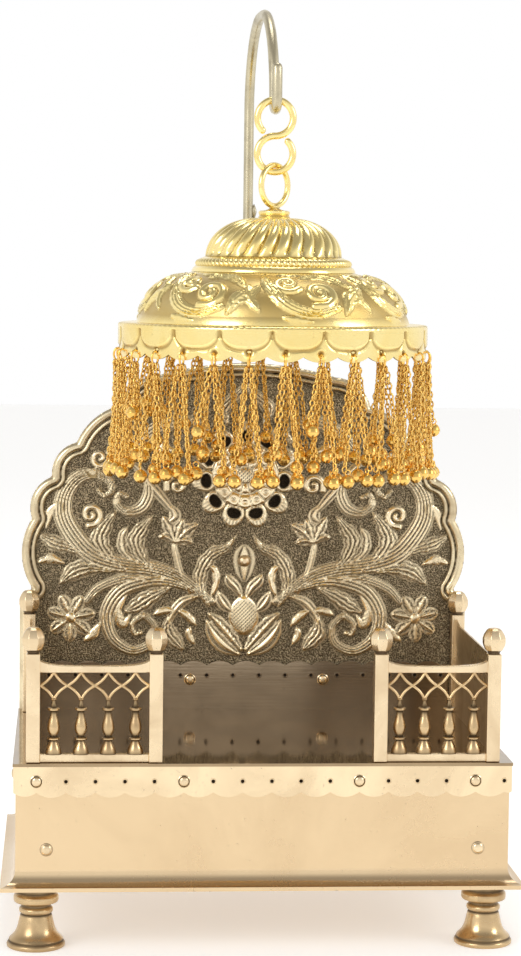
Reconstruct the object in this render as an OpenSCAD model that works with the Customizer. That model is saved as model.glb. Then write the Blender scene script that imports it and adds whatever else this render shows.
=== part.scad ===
// Brass deity throne: a sheet-brass plinth on four cast feet, cast railings, plain side panels,
// a lobed embossed backrest, and a bell canopy with a chain fringe that hangs from a hooked rod.
// The origin is on the floor under the middle of the whole throne. +X is to the right of
// someone who faces it, +Y runs from its front to its back, and +Z is up.

/* [Plinth] */
// Width of the seat plate
deck_w = 200; // [180:1:220]
// Depth of the seat plate
deck_d = 130; // [115:1:140]
// Height of the seat above the floor
deck_top = 75.5; // [72:0.5:80]
// Height of a cast foot
foot_h = 24.5; // [22:0.5:27]
// How far the plinth's middle lies behind the origin
plinth_y = 9; // [7:0.5:11]

/* [Sheets] */
// Thickness of the plinth walls and the base plate
wall_t = 1; // [0.8:0.1:1.2]
// Thickness of the seat plate
deck_t = 1.2; // [1:0.1:1.5]
// Thickness of the scalloped strips and the side panels
strip_t = 0.8; // [0.6:0.1:1]
// Distance between the points of a scalloped strip
scallop_pitch = 11.7; // [11:0.1:12.5]

/* [Railings] */
// Width of the left railing, over its posts
left_rail_w = 54.2; // [50:0.1:58]
// Width of the right railing, over its posts
right_rail_w = 51; // [50:0.1:58]
// Height of a post above the seat
post_h = 43.6; // [41:0.1:46]
// Width of a square post
post_w = 5.5; // [5:0.1:6]

/* [Backrest] */
// Width of the frame around the embossed sheet
border_w = 6; // [5:0.1:7]
// How far the frame stands in front of the sheet
border_t = 2.2; // [1.5:0.1:3]
// Height of the scalloped strip at the foot of the backrest
foot_strip_h = 21.5; // [18:0.5:24]

/* [Canopy] */
// Diameter of the rod that carries the canopy
rod_d = 4.3; // [3.8:0.1:4.8]
// Height at which the rod's big bend begins
bend_z = 340.8; // [338:0.1:346]
// Radius of the big bend
bend_r = 37.7; // [35:0.1:40]
// Length of the straight stretch at the top of the bend
bend_run = 8; // [4:0.5:12]
// How far the bend is turned to the right of straight ahead
bend_turn = 3; // [0:0.1:6]
// Diameter of the S-hook's wire
wire_d = 2.9; // [2.5:0.1:3.2]
// Radius of each loop of the S-hook, to the middle of its wire
loop_r = 7.3; // [7:0.1:7.6]
// Outer radius of the canopy's rim
rim_r = 63.6; // [60:0.1:66]
// Number of chain holes around the rim
rim_holes = 28; // [24:2:32]

/* [Hidden] */

$fn = 64;
brass = [0.86, 0.74, 0.52];
pale_brass = [0.84, 0.78, 0.64];
yellow_brass = [0.93, 0.76, 0.33];
chain_brass = [0.85, 0.62, 0.24];
eps = 0.01;
// How much narrower than its wire a rounded end is
blunt = 0.2;

// plinth
apron_h = 12.4;
notch_h = 2;
wall_x = deck_w / 2 - 0.4 - strip_t;
wall_y = deck_d / 2 - 0.4 - strip_t;
wall_bottom = foot_h + wall_t;
wall_top = deck_top - deck_t;
side_wall = 2 * (wall_y - wall_t);
apron_w = 2 * (wall_x + strip_t);
// Where the first notch of the long and of the short aprons is, from their middle
long_first = -90.6;
side_first = -58.5;
foot_x = deck_w / 2 - 9.5;
foot_y = deck_d / 2 - 9.5;
cove_r = 6;
cove_z = foot_h + 8.1;
skirt_t = 0.9;
lip_h = 1.6;

// upper works
deck_front = plinth_y - deck_d / 2;
deck_rear = plinth_y + deck_d / 2;
rail_y = deck_front + 2;
rail_outer = 94.8;
outer_post_x = rail_outer - post_w / 2;
left_inner_x = left_rail_w - outer_post_x - post_w;
right_inner_x = outer_post_x - right_rail_w + post_w;
rail_post_y = rail_y + post_w / 2;
panel_x = 94;
rear_post_x = 95.2;
sheet_t = 1;
sheet_y = deck_rear - sheet_t;
border_y = sheet_y - border_t;
rear_post_y = border_y - post_w - 2;
finial_z = deck_top + post_h;

// backrest outline: the points between the lobes on the right side, from the foot to the top,
// and how far each lobe that follows a point bulges out
back_points = [
    [99.5, deck_top], [99.5, 124], [94, 129.5], [94.3, 160.5],
    [85.6, 179], [74.8, 194.3], [55.5, 211], [40, 224]
];
back_bulges = [0, 0, 4.6, 4.2, 3.6, 3, 3.4, 6];

// canopy
rod_fit = 0.02;
rod_y = deck_rear + rod_d / 2 + rod_fit;
hook_r = 4.1;
hook_reach = 2 * bend_r + bend_run + hook_r;
canopy_x = hook_reach * sin(bend_turn);
canopy_y = rod_y - hook_reach * cos(bend_turn);
hang_gap = 0.15;
hook_z = bend_z - hook_r + rod_d / 2 + hang_gap + wire_d / 2;
eye_wire = 2.4;
eye_r = 8.3;
eye_top = hook_z - 4 * loop_r + wire_d / 2 + hang_gap + eye_wire / 2;
crown_top = 292.6;
crown_bottom = 276.7;
rope_bottom = 270.3;
dome_bottom = 249.7;
rim_bottom = 235.8;
shell_t = 0.9;
chain_top = 239.5;
chain_bottom = 192.2;
bell_z = 188.7;

// ---------------------------------------------------------------- outlines

function outward(a, b) = [b[1] - a[1], a[0] - b[0]] / norm(b - a);

// The points of one side that bulges out by h from the straight line a to b, without b itself
function bulge(a, b, h, steps) =
    h == 0 ? [a] :
    let (
        half = norm(b - a) / 2,
        r = (half * half + h * h) / (2 * h),
        n = outward(a, b),
        c = (a + b) / 2 - n * (r - h),
        spread = asin(half / r),
        middle = atan2(n[1], n[0])
    )
    [for (k = [0 : steps - 1])
        let (angle = middle - spread + 2 * spread * k / steps)
        c + r * [cos(angle), sin(angle)]];

// A counter-clockwise outline whose side i, from points[i], bulges out by bulges[i]
function lobed(points, bulges, steps = 8) = [
    for (i = [0 : len(points) - 1])
        each bulge(points[i], points[(i + 1) % len(points)], bulges[i], steps)
];

// The same corners moved inwards by w
function inset(points, w) = [
    for (i = [0 : len(points) - 1])
        let (
            n1 = outward(points[(i + len(points) - 1) % len(points)], points[i]),
            n2 = outward(points[i], points[(i + 1) % len(points)])
        )
        points[i] - w * (n1 + n2) / (1 + n1 * n2)
];

function quarter(r, z, dr, dz, steps) = [
    for (k = [0 : steps]) [r + dr * sin(90 * k / steps), z + dz * (1 - cos(90 * k / steps))]
];

back_outline = concat(
    back_points,
    [for (i = [len(back_points) - 1 : -1 : 0]) [-back_points[i][0], back_points[i][1]]]
);
back_sides = concat(
    back_bulges,
    [for (i = [len(back_bulges) - 2 : -1 : 0]) back_bulges[i]],
    [0]
);

// ---------------------------------------------------------------- helpers

// Stands a flat outline up: its x stays, its y becomes height, and it is t thick towards the back
module upright(t) {
    rotate([90, 0, 0]) translate([0, 0, -t]) linear_extrude(t) children();
}

// Turns what is drawn for the front of the plinth to another of its sides
module facing(turn) {
    translate([0, plinth_y, 0]) rotate(turn) children();
}

module torus(r, d, angle = 360) {
    rotate_extrude(angle = angle) translate([r, 0]) circle(d = d, $fn = 32);
}

// ---------------------------------------------------------------- plinth

module base_plate() {
    color(brass)
        translate([-wall_x, plinth_y - wall_y, foot_h]) cube([2 * wall_x, 2 * wall_y, wall_t]);
}

// A turned bell-shaped foot with a beaded neck and a flat disc under the plinth
module foot(side_x, side_y) {
    color(brass)
        translate([side_x * foot_x, plinth_y + side_y * foot_y, 0])
        scale(foot_h / 26)
        rotate_extrude()
        polygon([
            [0, 0], [12.5, 0], [12.5, 1.8], [11.6, 2.5], [11.6, 3.2], [11, 3.9], [9.4, 5.6],
            [8, 8.2], [7.2, 12], [6.5, 14.4], [7.2, 15.1], [7.2, 16.8], [6.2, 17.4], [6.2, 18.6],
            [9.6, 19.4], [9.6, 22.4], [8.4, 23.2], [8.4, 26], [0, 26]
        ]);
}

// The flared strip at the foot of a wall: a coved sheet with a straight lip, cut to a mitre
module skirt(length, wall) {
    reach = cove_r + wall;
    color(brass)
        intersection() {
            translate([0, -wall, 0]) rotate([90, 0, 90]) translate([0, 0, -length / 2 - cove_r])
                linear_extrude(length + 2 * cove_r) {
                    intersection() {
                        translate([-cove_r, cove_z - cove_r - skirt_t])
                            square([cove_r, cove_r + skirt_t]);
                        difference() {
                            translate([-cove_r, cove_z]) circle(cove_r + skirt_t);
                            translate([-cove_r, cove_z]) circle(cove_r);
                        }
                    }
                    translate([-cove_r, cove_z - cove_r - lip_h]) square([skirt_t, lip_h]);
                }
            linear_extrude(deck_top)
                polygon([
                    [-length / 2, -wall], [-length / 2 - cove_r, -reach],
                    [length / 2 + cove_r, -reach], [length / 2, -wall]
                ]);
        }
}

module wall(length, face) {
    color(brass)
        translate([-length / 2, -face, wall_bottom]) cube([length, wall_t, wall_top - wall_bottom]);
}

module seat_plate() {
    color(brass)
        translate([-deck_w / 2, deck_front, wall_top]) cube([deck_w, deck_d, deck_t]);
}

// A strip cut with a row of lobes along its lower edge, as high as h at its lobes
module scalloped(length, first, h) {
    points = concat(
        [[-length / 2, notch_h]],
        [for (x = [first : scallop_pitch : length / 2 - 1]) [x, notch_h]],
        [[length / 2, notch_h], [length / 2, h], [-length / 2, h]]
    );
    bulges = [
        for (i = [0 : len(points) - 1])
            let (run = i < len(points) - 3 ? points[i + 1][0] - points[i][0] : 0)
            run > scallop_pitch / 2 ? notch_h * run / scallop_pitch : 0
    ];
    polygon(lobed(points, bulges, 6));
}

module apron(length, first, face) {
    color(pale_brass)
        translate([0, -face, wall_top - apron_h]) upright(strip_t)
        scalloped(length, first, apron_h);
}

// ---------------------------------------------------------------- railings and side panels

// One turned baluster: a bell base, a disc, a vase and a thin pin
module baluster() {
    rotate_extrude($fn = 32)
        polygon([
            [0, -eps], [3.2, -eps], [3.1, 1.2], [2.3, 3], [1.5, 4.8], [1.3, 5.6], [2.4, 5.9],
            [2.4, 6.6], [1.4, 7], [2.1, 8.6], [2.5, 10.2], [2.2, 12], [1.5, 14.4], [1.2, 16.2],
            [1.2, 17.4], [2.2, 17.8], [2.2, 18.5], [1, 19.2], [0.6, 20.4], [0.6, 22.4], [0, 22.4]
        ]);
}

// One link of the lattice: four straight bars that meet in points
module diamond(w, h) {
    bar = 1.3;
    length = norm([w, h]) / 2;
    lean = atan2(h, w);
    for (side = [-1, 1], turn = [-1, 1])
        translate([side * w / 4, 0, turn * h / 4])
            rotate([0, side * turn * lean, 0])
            cube([length + bar * 0.5, 2, bar], center = true);
}

// A cast railing between two posts: a lattice of diamonds over a row of balusters
module railing(x, w) {
    inner = w - 2 * post_w;
    pitch = inner / 4;
    lattice_h = 10.8;
    lattice_z = 30.6;
    sill_h = 3.4;
    top_z = 36;
    top_h = 3.4;
    rail_d = 3.4;
    middle = post_w / 2;
    color(brass)
        translate([x, rail_y, deck_top])
        union() {
            for (post = [0, w - post_w])
                translate([post, 0, 0]) cube([post_w, post_w, post_h]);
            translate([post_w - eps, middle - rail_d / 2, 0]) cube([inner + 2 * eps, rail_d, sill_h]);
            translate([post_w - eps, middle - rail_d / 2, top_z])
                cube([inner + 2 * eps, rail_d, top_h]);
            for (k = [0 : 3])
                translate([post_w + (k + 0.5) * pitch, middle, 0]) {
                    translate([0, 0, sill_h]) baluster();
                    translate([0, 0, lattice_z]) diamond(pitch, lattice_h);
                }
        }
}

module side_panel(side) {
    front = rail_y + post_w;
    low = 40;
    high = 41.5;
    color(pale_brass)
        translate([side < 0 ? -panel_x - strip_t : panel_x, 0, deck_top])
        rotate([90, 0, 90])
        linear_extrude(strip_t)
        polygon([
            [front, 0], [rear_post_y, 0], [rear_post_y, high], [rear_post_y - 9, low], [front, low]
        ]);
}

module rear_post(side) {
    color(brass)
        translate([side * rear_post_x - post_w / 2, rear_post_y, deck_top])
        cube([post_w, post_w, post_h]);
}

// An eight-sided knob on a round neck
module finial(x, y) {
    color(pale_brass)
        translate([x, y, finial_z])
        rotate([0, 0, 22.5])
        rotate_extrude($fn = 8)
        polygon([
            [0, 0], [2.6, 0], [2.6, 0.8], [3.6, 1.4], [4.8, 4],
            [4.8, 6.5], [3.4, 9.3], [2.1, 10.4], [0, 10.4]
        ]);
}

// ---------------------------------------------------------------- backrest

// The embossed sheet, as its plain cut shape
module back_panel() {
    color(brass)
        translate([0, sheet_y, 0]) upright(sheet_t)
        polygon(lobed(back_outline, back_sides));
}

// The double-bead frame that follows the sheet's lobed edge and stands on the seat
module back_border() {
    inner = [for (p = inset(back_outline, border_w)) [p[0], p[1] < 100 ? foot_h : p[1]]];
    color(brass)
        translate([0, border_y, 0]) upright(border_t)
        difference() {
            polygon(lobed(back_outline, back_sides));
            polygon(lobed(inner, back_sides));
        }
}

// The upright scalloped strip that covers the foot of the sheet between the frame's legs
module back_strip() {
    length = 2 * (back_points[0][0] - border_w) - 2;
    color(pale_brass)
        translate([0, sheet_y - strip_t, deck_top + foot_strip_h])
        upright(strip_t)
        mirror([0, 1])
        scalloped(length, -length / 2 + 6, foot_strip_h);
}

// ---------------------------------------------------------------- fasteners

// A domed head that stands on a face and points along -Y
module head(d, h) {
    rotate([90, 0, 0]) rotate_extrude($fn = 32)
        polygon([[0, 0], [d / 2, 0], [d / 2, h * 0.35], [d * 0.36, h * 0.8], [d * 0.18, h], [0, h]]);
}

module strip_screws() {
    z = deck_top - 6.9;
    color(pale_brass) {
        for (x = [-90.6, -32.2, 38, 84.8]) {
            translate([x, plinth_y - wall_y - strip_t, z]) head(4, 1.1);
            translate([-x, plinth_y + wall_y + strip_t, z]) rotate([0, 0, 180]) head(4, 1.1);
        }
        for (side = [-1, 1], y = [-46.8, 0, 46.8])
            translate([side * (wall_x + strip_t), plinth_y + y, z])
                rotate([0, 0, side * 90])
                head(4, 1.1);
        for (x = [-24, 35])
            translate([x, sheet_y - strip_t, deck_top + foot_strip_h - 7.5]) head(4, 1.1);
    }
}

module plinth_rivets() {
    rivet_z = 40.8;
    color(pale_brass)
        for (side = [-1, 1]) {
            translate([side * 86.5, plinth_y - wall_y, rivet_z]) head(5, 1.3);
            translate([side * 86.5, plinth_y + wall_y, rivet_z]) rotate([0, 0, 180]) head(5, 1.3);
        }
}

// ---------------------------------------------------------------- canopy rod

// A round rod that rises behind the backrest, bends over it and ends in an upturned hook
module canopy_stem() {
    foot_z = 120;
    tip_h = 12.4;
    lug_z = 297;
    color(pale_brass)
        translate([0, rod_y, 0])
        rotate([0, 0, bend_turn])
        union() {
            translate([0, 0, foot_z]) cylinder(d = rod_d, h = bend_z - foot_z);
            translate([0, -bend_r, bend_z]) rotate([90, 0, 90]) torus(bend_r, rod_d, 90);
            translate([0, -bend_r, bend_z + bend_r])
                rotate([90, 0, 0])
                cylinder(d = rod_d, h = bend_run);
            translate([0, -bend_r - bend_run, bend_z])
                rotate([90, 0, 90]) rotate([0, 0, 90]) torus(bend_r, rod_d, 90);
            translate([0, -hook_reach, bend_z]) rotate([-90, 0, 90]) torus(hook_r, rod_d, 180);
            translate([0, -hook_reach - hook_r, bend_z]) cylinder(d = rod_d, h = tip_h);
            translate([0, -hook_reach - hook_r, bend_z + tip_h]) sphere(d = rod_d - blunt);
            translate([rod_d / 2 + 0.6, 0, lug_z - 3.4])
                rotate_extrude($fn = 32)
                polygon([[0, 0], [0.8, 1.4], [1.2, 3], [0.9, 4.8], [0, 6.8]]);
        }
}

// Two grooved blocks that hold the rod to the sheet, and the bolt head that shows in front
module stem_clips() {
    block = [14, rod_d + 2.4, 9];
    bolt_z = 142;
    upper_clip_z = 180;
    color(brass) {
        for (z = [bolt_z, upper_clip_z])
            difference() {
                translate([-block[0] / 2, deck_rear, z - block[2] / 2]) cube(block);
                translate([0, rod_y, z - block[2]])
                    cylinder(d = rod_d + 2 * rod_fit, h = 2 * block[2]);
                translate([-rod_d / 2 - rod_fit, deck_rear - 1, z - block[2]])
                    cube([rod_d + 2 * rod_fit, rod_y - deck_rear + 1, 2 * block[2]]);
            }
        translate([0, sheet_y, bolt_z]) head(5.4, 2.4);
    }
}

// ---------------------------------------------------------------- S-hook

module s_hook() {
    sweep = 322;
    color(yellow_brass)
        translate([canopy_x, canopy_y, hook_z])
        rotate([90, 0, 0])
        for (loop = [0, 1])
            translate([0, -loop_r * (1 + 2 * loop), 0])
                rotate([0, 0, loop * 180 - 90]) {
                    torus(loop_r, wire_d, sweep);
                    rotate([0, 0, sweep]) translate([loop_r, 0, 0]) sphere(d = wire_d - blunt, $fn = 32);
                }
}

// ---------------------------------------------------------------- canopy

module at_canopy() {
    translate([canopy_x, canopy_y, 0]) children();
}

// The ring that the S-hook carries, on its round collar
module canopy_eye() {
    collar_r = 6.5;
    collar_h = 2.9;
    color(yellow_brass)
        at_canopy() {
            translate([0, 0, eye_top - eye_r]) rotate([90, 0, 45]) torus(eye_r, eye_wire);
            translate([0, 0, crown_top + collar_h - eps])
                cylinder(r = 2, h = eye_top - 2 * eye_r - crown_top - collar_h);
            translate([0, 0, crown_top]) cylinder(r = collar_r, h = collar_h);
        }
}

// The fluted dome under the collar
module canopy_crown() {
    r = 28;
    color(yellow_brass)
        at_canopy()
        rotate_extrude()
        polygon(concat(
            [[0, crown_top - shell_t], [0, crown_top]],
            [[6.5, crown_top]],
            quarter(6.5, crown_top, r - 6.5, crown_bottom - crown_top, 8),
            [[r - shell_t, crown_bottom]],
            [for (k = [8 : -1 : 1])
                [6.5 + (r - shell_t - 6.5) * sin(90 * k / 8),
                 crown_top - shell_t + (crown_bottom - crown_top + shell_t) * (1 - cos(90 * k / 8))]]
        ));
}

// The roped moulding between the two domes
module canopy_rope_band() {
    color(yellow_brass)
        at_canopy()
        rotate_extrude()
        polygon([
            [26.4, crown_bottom], [28.6, crown_bottom], [31.4, crown_bottom - 1.6],
            [33.4, rope_bottom + 2], [33.6, rope_bottom], [31.6, rope_bottom]
        ]);
}

// The large embossed dome
module canopy_dome() {
    inner_r = 31.8;
    outer_r = 56;
    rise = rope_bottom - dome_bottom;
    color(yellow_brass)
        at_canopy()
        rotate_extrude()
        polygon(concat(
            [[inner_r, rope_bottom - shell_t], [inner_r, rope_bottom]],
            quarter(inner_r + 1.8, rope_bottom, outer_r - inner_r - 1.8, -rise, 8),
            [for (k = [8 : -1 : 1])
                [inner_r + 1.8 + (outer_r - shell_t - inner_r - 1.8) * sin(90 * k / 8),
                 rope_bottom - shell_t - (rise - shell_t) * (1 - cos(90 * k / 8))]]
        ));
}

// The flat flange and the upright rim with its scalloped lower edge
module canopy_rim() {
    notch_r = 2.2;
    color(yellow_brass)
        at_canopy()
        difference() {
            rotate_extrude()
                polygon([
                    [54.6, dome_bottom - 1.2], [54.6, dome_bottom], [rim_r - 1, dome_bottom],
                    [rim_r, dome_bottom - 1], [rim_r, rim_bottom], [rim_r - shell_t, rim_bottom],
                    [rim_r - shell_t, dome_bottom - 1.2]
                ]);
            for (k = [0 : rim_holes - 1])
                rotate([0, 0, (k + 0.5) * 360 / rim_holes])
                    translate([rim_r - 3, 0, rim_bottom - 0.6])
                    rotate([0, 90, 0])
                    cylinder(r = notch_r, h = 6, $fn = 32);
        }
}

// ---------------------------------------------------------------- fringe

module strand(a, b, d) {
    v = b - a;
    translate(a)
        rotate([0, acos(v[2] / norm(v)), atan2(v[1], v[0])])
        cylinder(d = d, h = norm(v), $fn = 8);
}

function around(r, angle, side, z) = [
    r * cos(angle) - side * sin(angle),
    r * sin(angle) + side * cos(angle),
    z
];

// Two chains from every hole, each meeting a chain from the next hole
module fringe_chains() {
    color(chain_brass)
        at_canopy()
        for (k = [0 : rim_holes - 1], side = [-1, 1]) {
            hole = 360 / rim_holes * k;
            strand(
                around(rim_r + 0.9, hole, side * 0.9, chain_top),
                around(rim_r + 3.2, hole + side * 180 / rim_holes, -side * 1, chain_bottom),
                1.2
            );
        }
}

// Pairs of small closed bells where two chains meet
module fringe_bells() {
    bell_d = 5.5;
    color(chain_brass)
        at_canopy()
        for (k = [0 : rim_holes - 1], side = [-1, 1])
            translate(around(rim_r + 3.8, 360 / rim_holes * (k + 0.5), side * 2.9, bell_z - 0.3 * side))
                sphere(d = bell_d, $fn = 32);
}

// ---------------------------------------------------------------- the throne

base_plate();
foot(-1, -1);  // foot_front_left
foot(1, -1);  // foot_front_right
foot(-1, 1);  // foot_rear_left
foot(1, 1);  // foot_rear_right
facing(0) skirt(2 * wall_x, wall_y);  // skirt_front
facing(180) skirt(2 * wall_x, wall_y);  // skirt_rear
facing(-90) skirt(2 * wall_y, wall_x);  // skirt_left
facing(90) skirt(2 * wall_y, wall_x);  // skirt_right
facing(0) wall(2 * wall_x, wall_y);  // plinth_front
facing(180) wall(2 * wall_x, wall_y);  // plinth_rear
facing(-90) wall(side_wall, wall_x);  // plinth_left
facing(90) wall(side_wall, wall_x);  // plinth_right
seat_plate();
facing(0) apron(apron_w, long_first, wall_y + strip_t);  // apron_front
facing(180) apron(apron_w, long_first, wall_y + strip_t);  // apron_rear
facing(-90) apron(2 * wall_y, side_first, wall_x + strip_t);  // apron_left
facing(90) apron(2 * wall_y, side_first, wall_x + strip_t);  // apron_right
railing(-rail_outer, left_rail_w);  // railing_left
railing(rail_outer - right_rail_w, right_rail_w);  // railing_right
side_panel(-1);  // side_panel_left
side_panel(1);  // side_panel_right
rear_post(-1);  // rear_post_left
rear_post(1);  // rear_post_right
finial(-outer_post_x, rail_post_y);  // finial_left_outer
finial(left_inner_x, rail_post_y);  // finial_left_inner
finial(right_inner_x, rail_post_y);  // finial_right_inner
finial(outer_post_x, rail_post_y);  // finial_right_outer
finial(-rear_post_x, rear_post_y + post_w / 2);  // finial_rear_left
finial(rear_post_x, rear_post_y + post_w / 2);  // finial_rear_right
back_panel();
back_border();
back_strip();
strip_screws();
plinth_rivets();
canopy_stem();
stem_clips();
s_hook();
canopy_eye();
canopy_crown();
canopy_rope_band();
canopy_dome();
canopy_rim();
fringe_chains();
fringe_bells();
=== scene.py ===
import bpy
import math
import random
import numpy as np
from mathutils import Matrix, Vector


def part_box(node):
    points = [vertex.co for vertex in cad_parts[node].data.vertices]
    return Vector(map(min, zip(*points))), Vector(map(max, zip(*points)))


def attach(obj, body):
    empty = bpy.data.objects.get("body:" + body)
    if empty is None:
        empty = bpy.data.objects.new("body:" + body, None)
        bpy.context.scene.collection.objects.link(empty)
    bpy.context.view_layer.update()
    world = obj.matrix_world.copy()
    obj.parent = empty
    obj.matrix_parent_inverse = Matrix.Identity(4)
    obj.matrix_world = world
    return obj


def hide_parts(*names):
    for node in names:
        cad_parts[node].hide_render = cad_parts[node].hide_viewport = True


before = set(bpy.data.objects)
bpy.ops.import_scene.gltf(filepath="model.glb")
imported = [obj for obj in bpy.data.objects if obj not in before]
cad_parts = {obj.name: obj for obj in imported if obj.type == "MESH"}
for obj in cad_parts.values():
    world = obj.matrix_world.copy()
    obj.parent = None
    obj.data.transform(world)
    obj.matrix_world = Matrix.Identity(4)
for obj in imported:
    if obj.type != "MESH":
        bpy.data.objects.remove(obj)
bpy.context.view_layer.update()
MM = 0.001

# ---- Camera, floor and lamps ----
# Lens and stand: about a metre in front of the throne, a little to its left, just above the seat,
# turned slightly to the right and down. A pale floor, a pale room and three broad soft lamps.

turn, tilt, lean = (math.radians(a) for a in (4.393, -4.653, 0.713))
ahead = Vector((math.sin(turn) * math.cos(tilt), math.cos(turn) * math.cos(tilt), math.sin(tilt)))
level = Vector((math.cos(turn), -math.sin(turn), 0))
rise = level.cross(ahead)
right = math.cos(lean) * level + math.sin(lean) * rise
up = math.cos(lean) * rise - math.sin(lean) * level

camera = bpy.data.objects.new("camera", bpy.data.cameras.new("camera"))
camera.data.sensor_fit = "VERTICAL"
camera.data.angle = 2 * math.atan(956 / 2 / 2578.9)
camera.data.clip_start = 0.01
stand = Matrix((right, up, -ahead)).transposed().to_4x4()
stand.translation = (-0.08079, -1.06699, 0.2721)
camera.matrix_world = stand
bpy.context.scene.collection.objects.link(camera)
bpy.context.scene.camera = camera
bpy.context.scene.view_settings.view_transform = "Standard"


def add_node(tree, kind, inputs, **settings):
    node = tree.nodes.new("ShaderNode" + kind)
    for name, value in settings.items():
        setattr(node, name, value)
    for key, value in inputs.items():
        if isinstance(value, bpy.types.NodeSocket):
            tree.links.new(value, node.inputs[key])
        else:
            node.inputs[key].default_value = value
    return node


def new_finish(name):
    finish = bpy.data.materials.new(name)
    finish.use_nodes = True
    finish.node_tree.nodes.clear()
    return finish, finish.node_tree


table_finish, tree = new_finish("pale_table")
cloud = add_node(tree, "TexNoise", {"Scale": 3.0, "Detail": 4.0})
table_colour = add_node(tree, "ValToRGB", {"Fac": cloud.outputs["Fac"]})
table_colour.color_ramp.elements[0].color = (0.86, 0.86, 0.85, 1)
table_colour.color_ramp.elements[1].color = (0.90, 0.90, 0.89, 1)
ray = add_node(tree, "LightPath", {})
seen = add_node(tree, "Math", {0: ray.outputs["Is Camera Ray"], 1: ray.outputs["Is Glossy Ray"]}, operation="MAXIMUM")
seen_through = add_node(tree, "Math", {0: seen.outputs["Value"], 1: ray.outputs["Is Transmission Ray"]}, operation="MAXIMUM")
lift = add_node(tree, "Math", {0: seen_through.outputs["Value"], 1: 0.36}, operation="MULTIPLY")
pale = add_node(tree, "BsdfPrincipled", {
    "Base Color": table_colour.outputs["Color"], "Roughness": 0.7,
    "Emission Color": (1, 0.99, 0.98, 1), "Emission Strength": lift.outputs["Value"],
})
add_node(tree, "OutputMaterial", {"Surface": pale.outputs["BSDF"]})

table_mesh = bpy.data.meshes.new("table")
table_mesh.from_pydata([(-4, -4, 0), (4, -4, 0), (4, 4, 0), (-4, 4, 0)], [], [(0, 1, 2, 3)])
table_mesh.materials.append(table_finish)
table = bpy.data.objects.new("table", table_mesh)
bpy.context.scene.collection.objects.link(table)

room = bpy.data.worlds.new("room")
bpy.context.scene.world = room
room.use_nodes = True
tree = room.node_tree
tree.nodes.clear()
way = add_node(tree, "TexCoord", {})
height = add_node(tree, "SeparateXYZ", {0: way.outputs["Generated"]})
walls = add_node(tree, "ValToRGB", {"Fac": height.outputs["Z"]})
walls.color_ramp.elements[0].position = 0.40
walls.color_ramp.elements[0].color = (1, 1, 1, 1)
walls.color_ramp.elements[1].position = 0.85
walls.color_ramp.elements[1].color = (0.40, 0.39, 0.38, 1)
light = add_node(tree, "Background", {"Color": walls.outputs["Color"], "Strength": 1.0})
add_node(tree, "OutputWorld", {"Surface": light.outputs["Background"]})

for name, place, width, watts in (
    ("window_left", (-1.1, -1.0, 0.9), 0.7, 7.0),
    ("window_right", (1.2, -0.5, 0.8), 0.5, 3.5),
    ("lamp_above", (0.1, 0.3, 1.5), 0.6, 4.0),
):
    lamp = bpy.data.objects.new(name, bpy.data.lights.new(name, "AREA"))
    lamp.data.size = width
    lamp.data.energy = watts
    lamp.location = place
    lamp.rotation_euler = (Vector((0, 0, 0.17)) - Vector(place)).to_track_quat("-Z", "Y").to_euler()
    bpy.context.scene.collection.objects.link(lamp)


# ---- Plinth: sheet walls, coved skirt, base plate and rivets ----
# Thin rolled sheet, cut and folded, with a coved skirt soldered round its foot. Two domed rivets
# hold each long wall. The brass is old polish: warm and pale, clouded by handling and brushed.

def old_brass_group():
    """Clouds of tarnish, specks of grime and fine scratches, on the surface's own place."""
    group = bpy.data.node_groups.new("old_brass", "ShaderNodeTree")
    for name, kind, value in (
        ("Place", "NodeSocketVector", None), ("Cloud Size", "NodeSocketFloat", 40.0),
        ("Scratch Stretch", "NodeSocketVector", (1, 1, 1)), ("Scratch Size", "NodeSocketFloat", 900.0),
    ):
        socket = group.interface.new_socket(name, in_out="INPUT", socket_type=kind)
        if value is not None:
            socket.default_value = value
    for name in ("Cloud", "Speck", "Scratch"):
        group.interface.new_socket(name, in_out="OUTPUT", socket_type="NodeSocketFloat")
    given = group.nodes.new("NodeGroupInput").outputs
    cloud = add_node(group, "TexNoise", {"Vector": given["Place"], "Scale": given["Cloud Size"], "Detail": 6.0, "Roughness": 0.62, "Distortion": 0.6})
    cloud_range = add_node(group, "MapRange", {"Value": cloud.outputs["Fac"], "From Min": 0.30, "From Max": 0.78}, interpolation_type="SMOOTHSTEP")
    speck = add_node(group, "TexNoise", {"Vector": given["Place"], "Scale": 620.0, "Detail": 3.0})
    speck_range = add_node(group, "MapRange", {"Value": speck.outputs["Fac"], "From Min": 0.66, "From Max": 0.80})
    stretched = add_node(group, "VectorMath", {0: given["Place"], 1: given["Scratch Stretch"]}, operation="MULTIPLY")
    scratch = add_node(group, "TexNoise", {"Vector": stretched.outputs["Vector"], "Scale": given["Scratch Size"], "Detail": 2.0})
    out = group.nodes.new("NodeGroupOutput")
    group.links.new(cloud_range.outputs["Result"], out.inputs["Cloud"])
    group.links.new(speck_range.outputs["Result"], out.inputs["Speck"])
    group.links.new(scratch.outputs["Fac"], out.inputs["Scratch"])
    return group


old_brass = old_brass_group()


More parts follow.
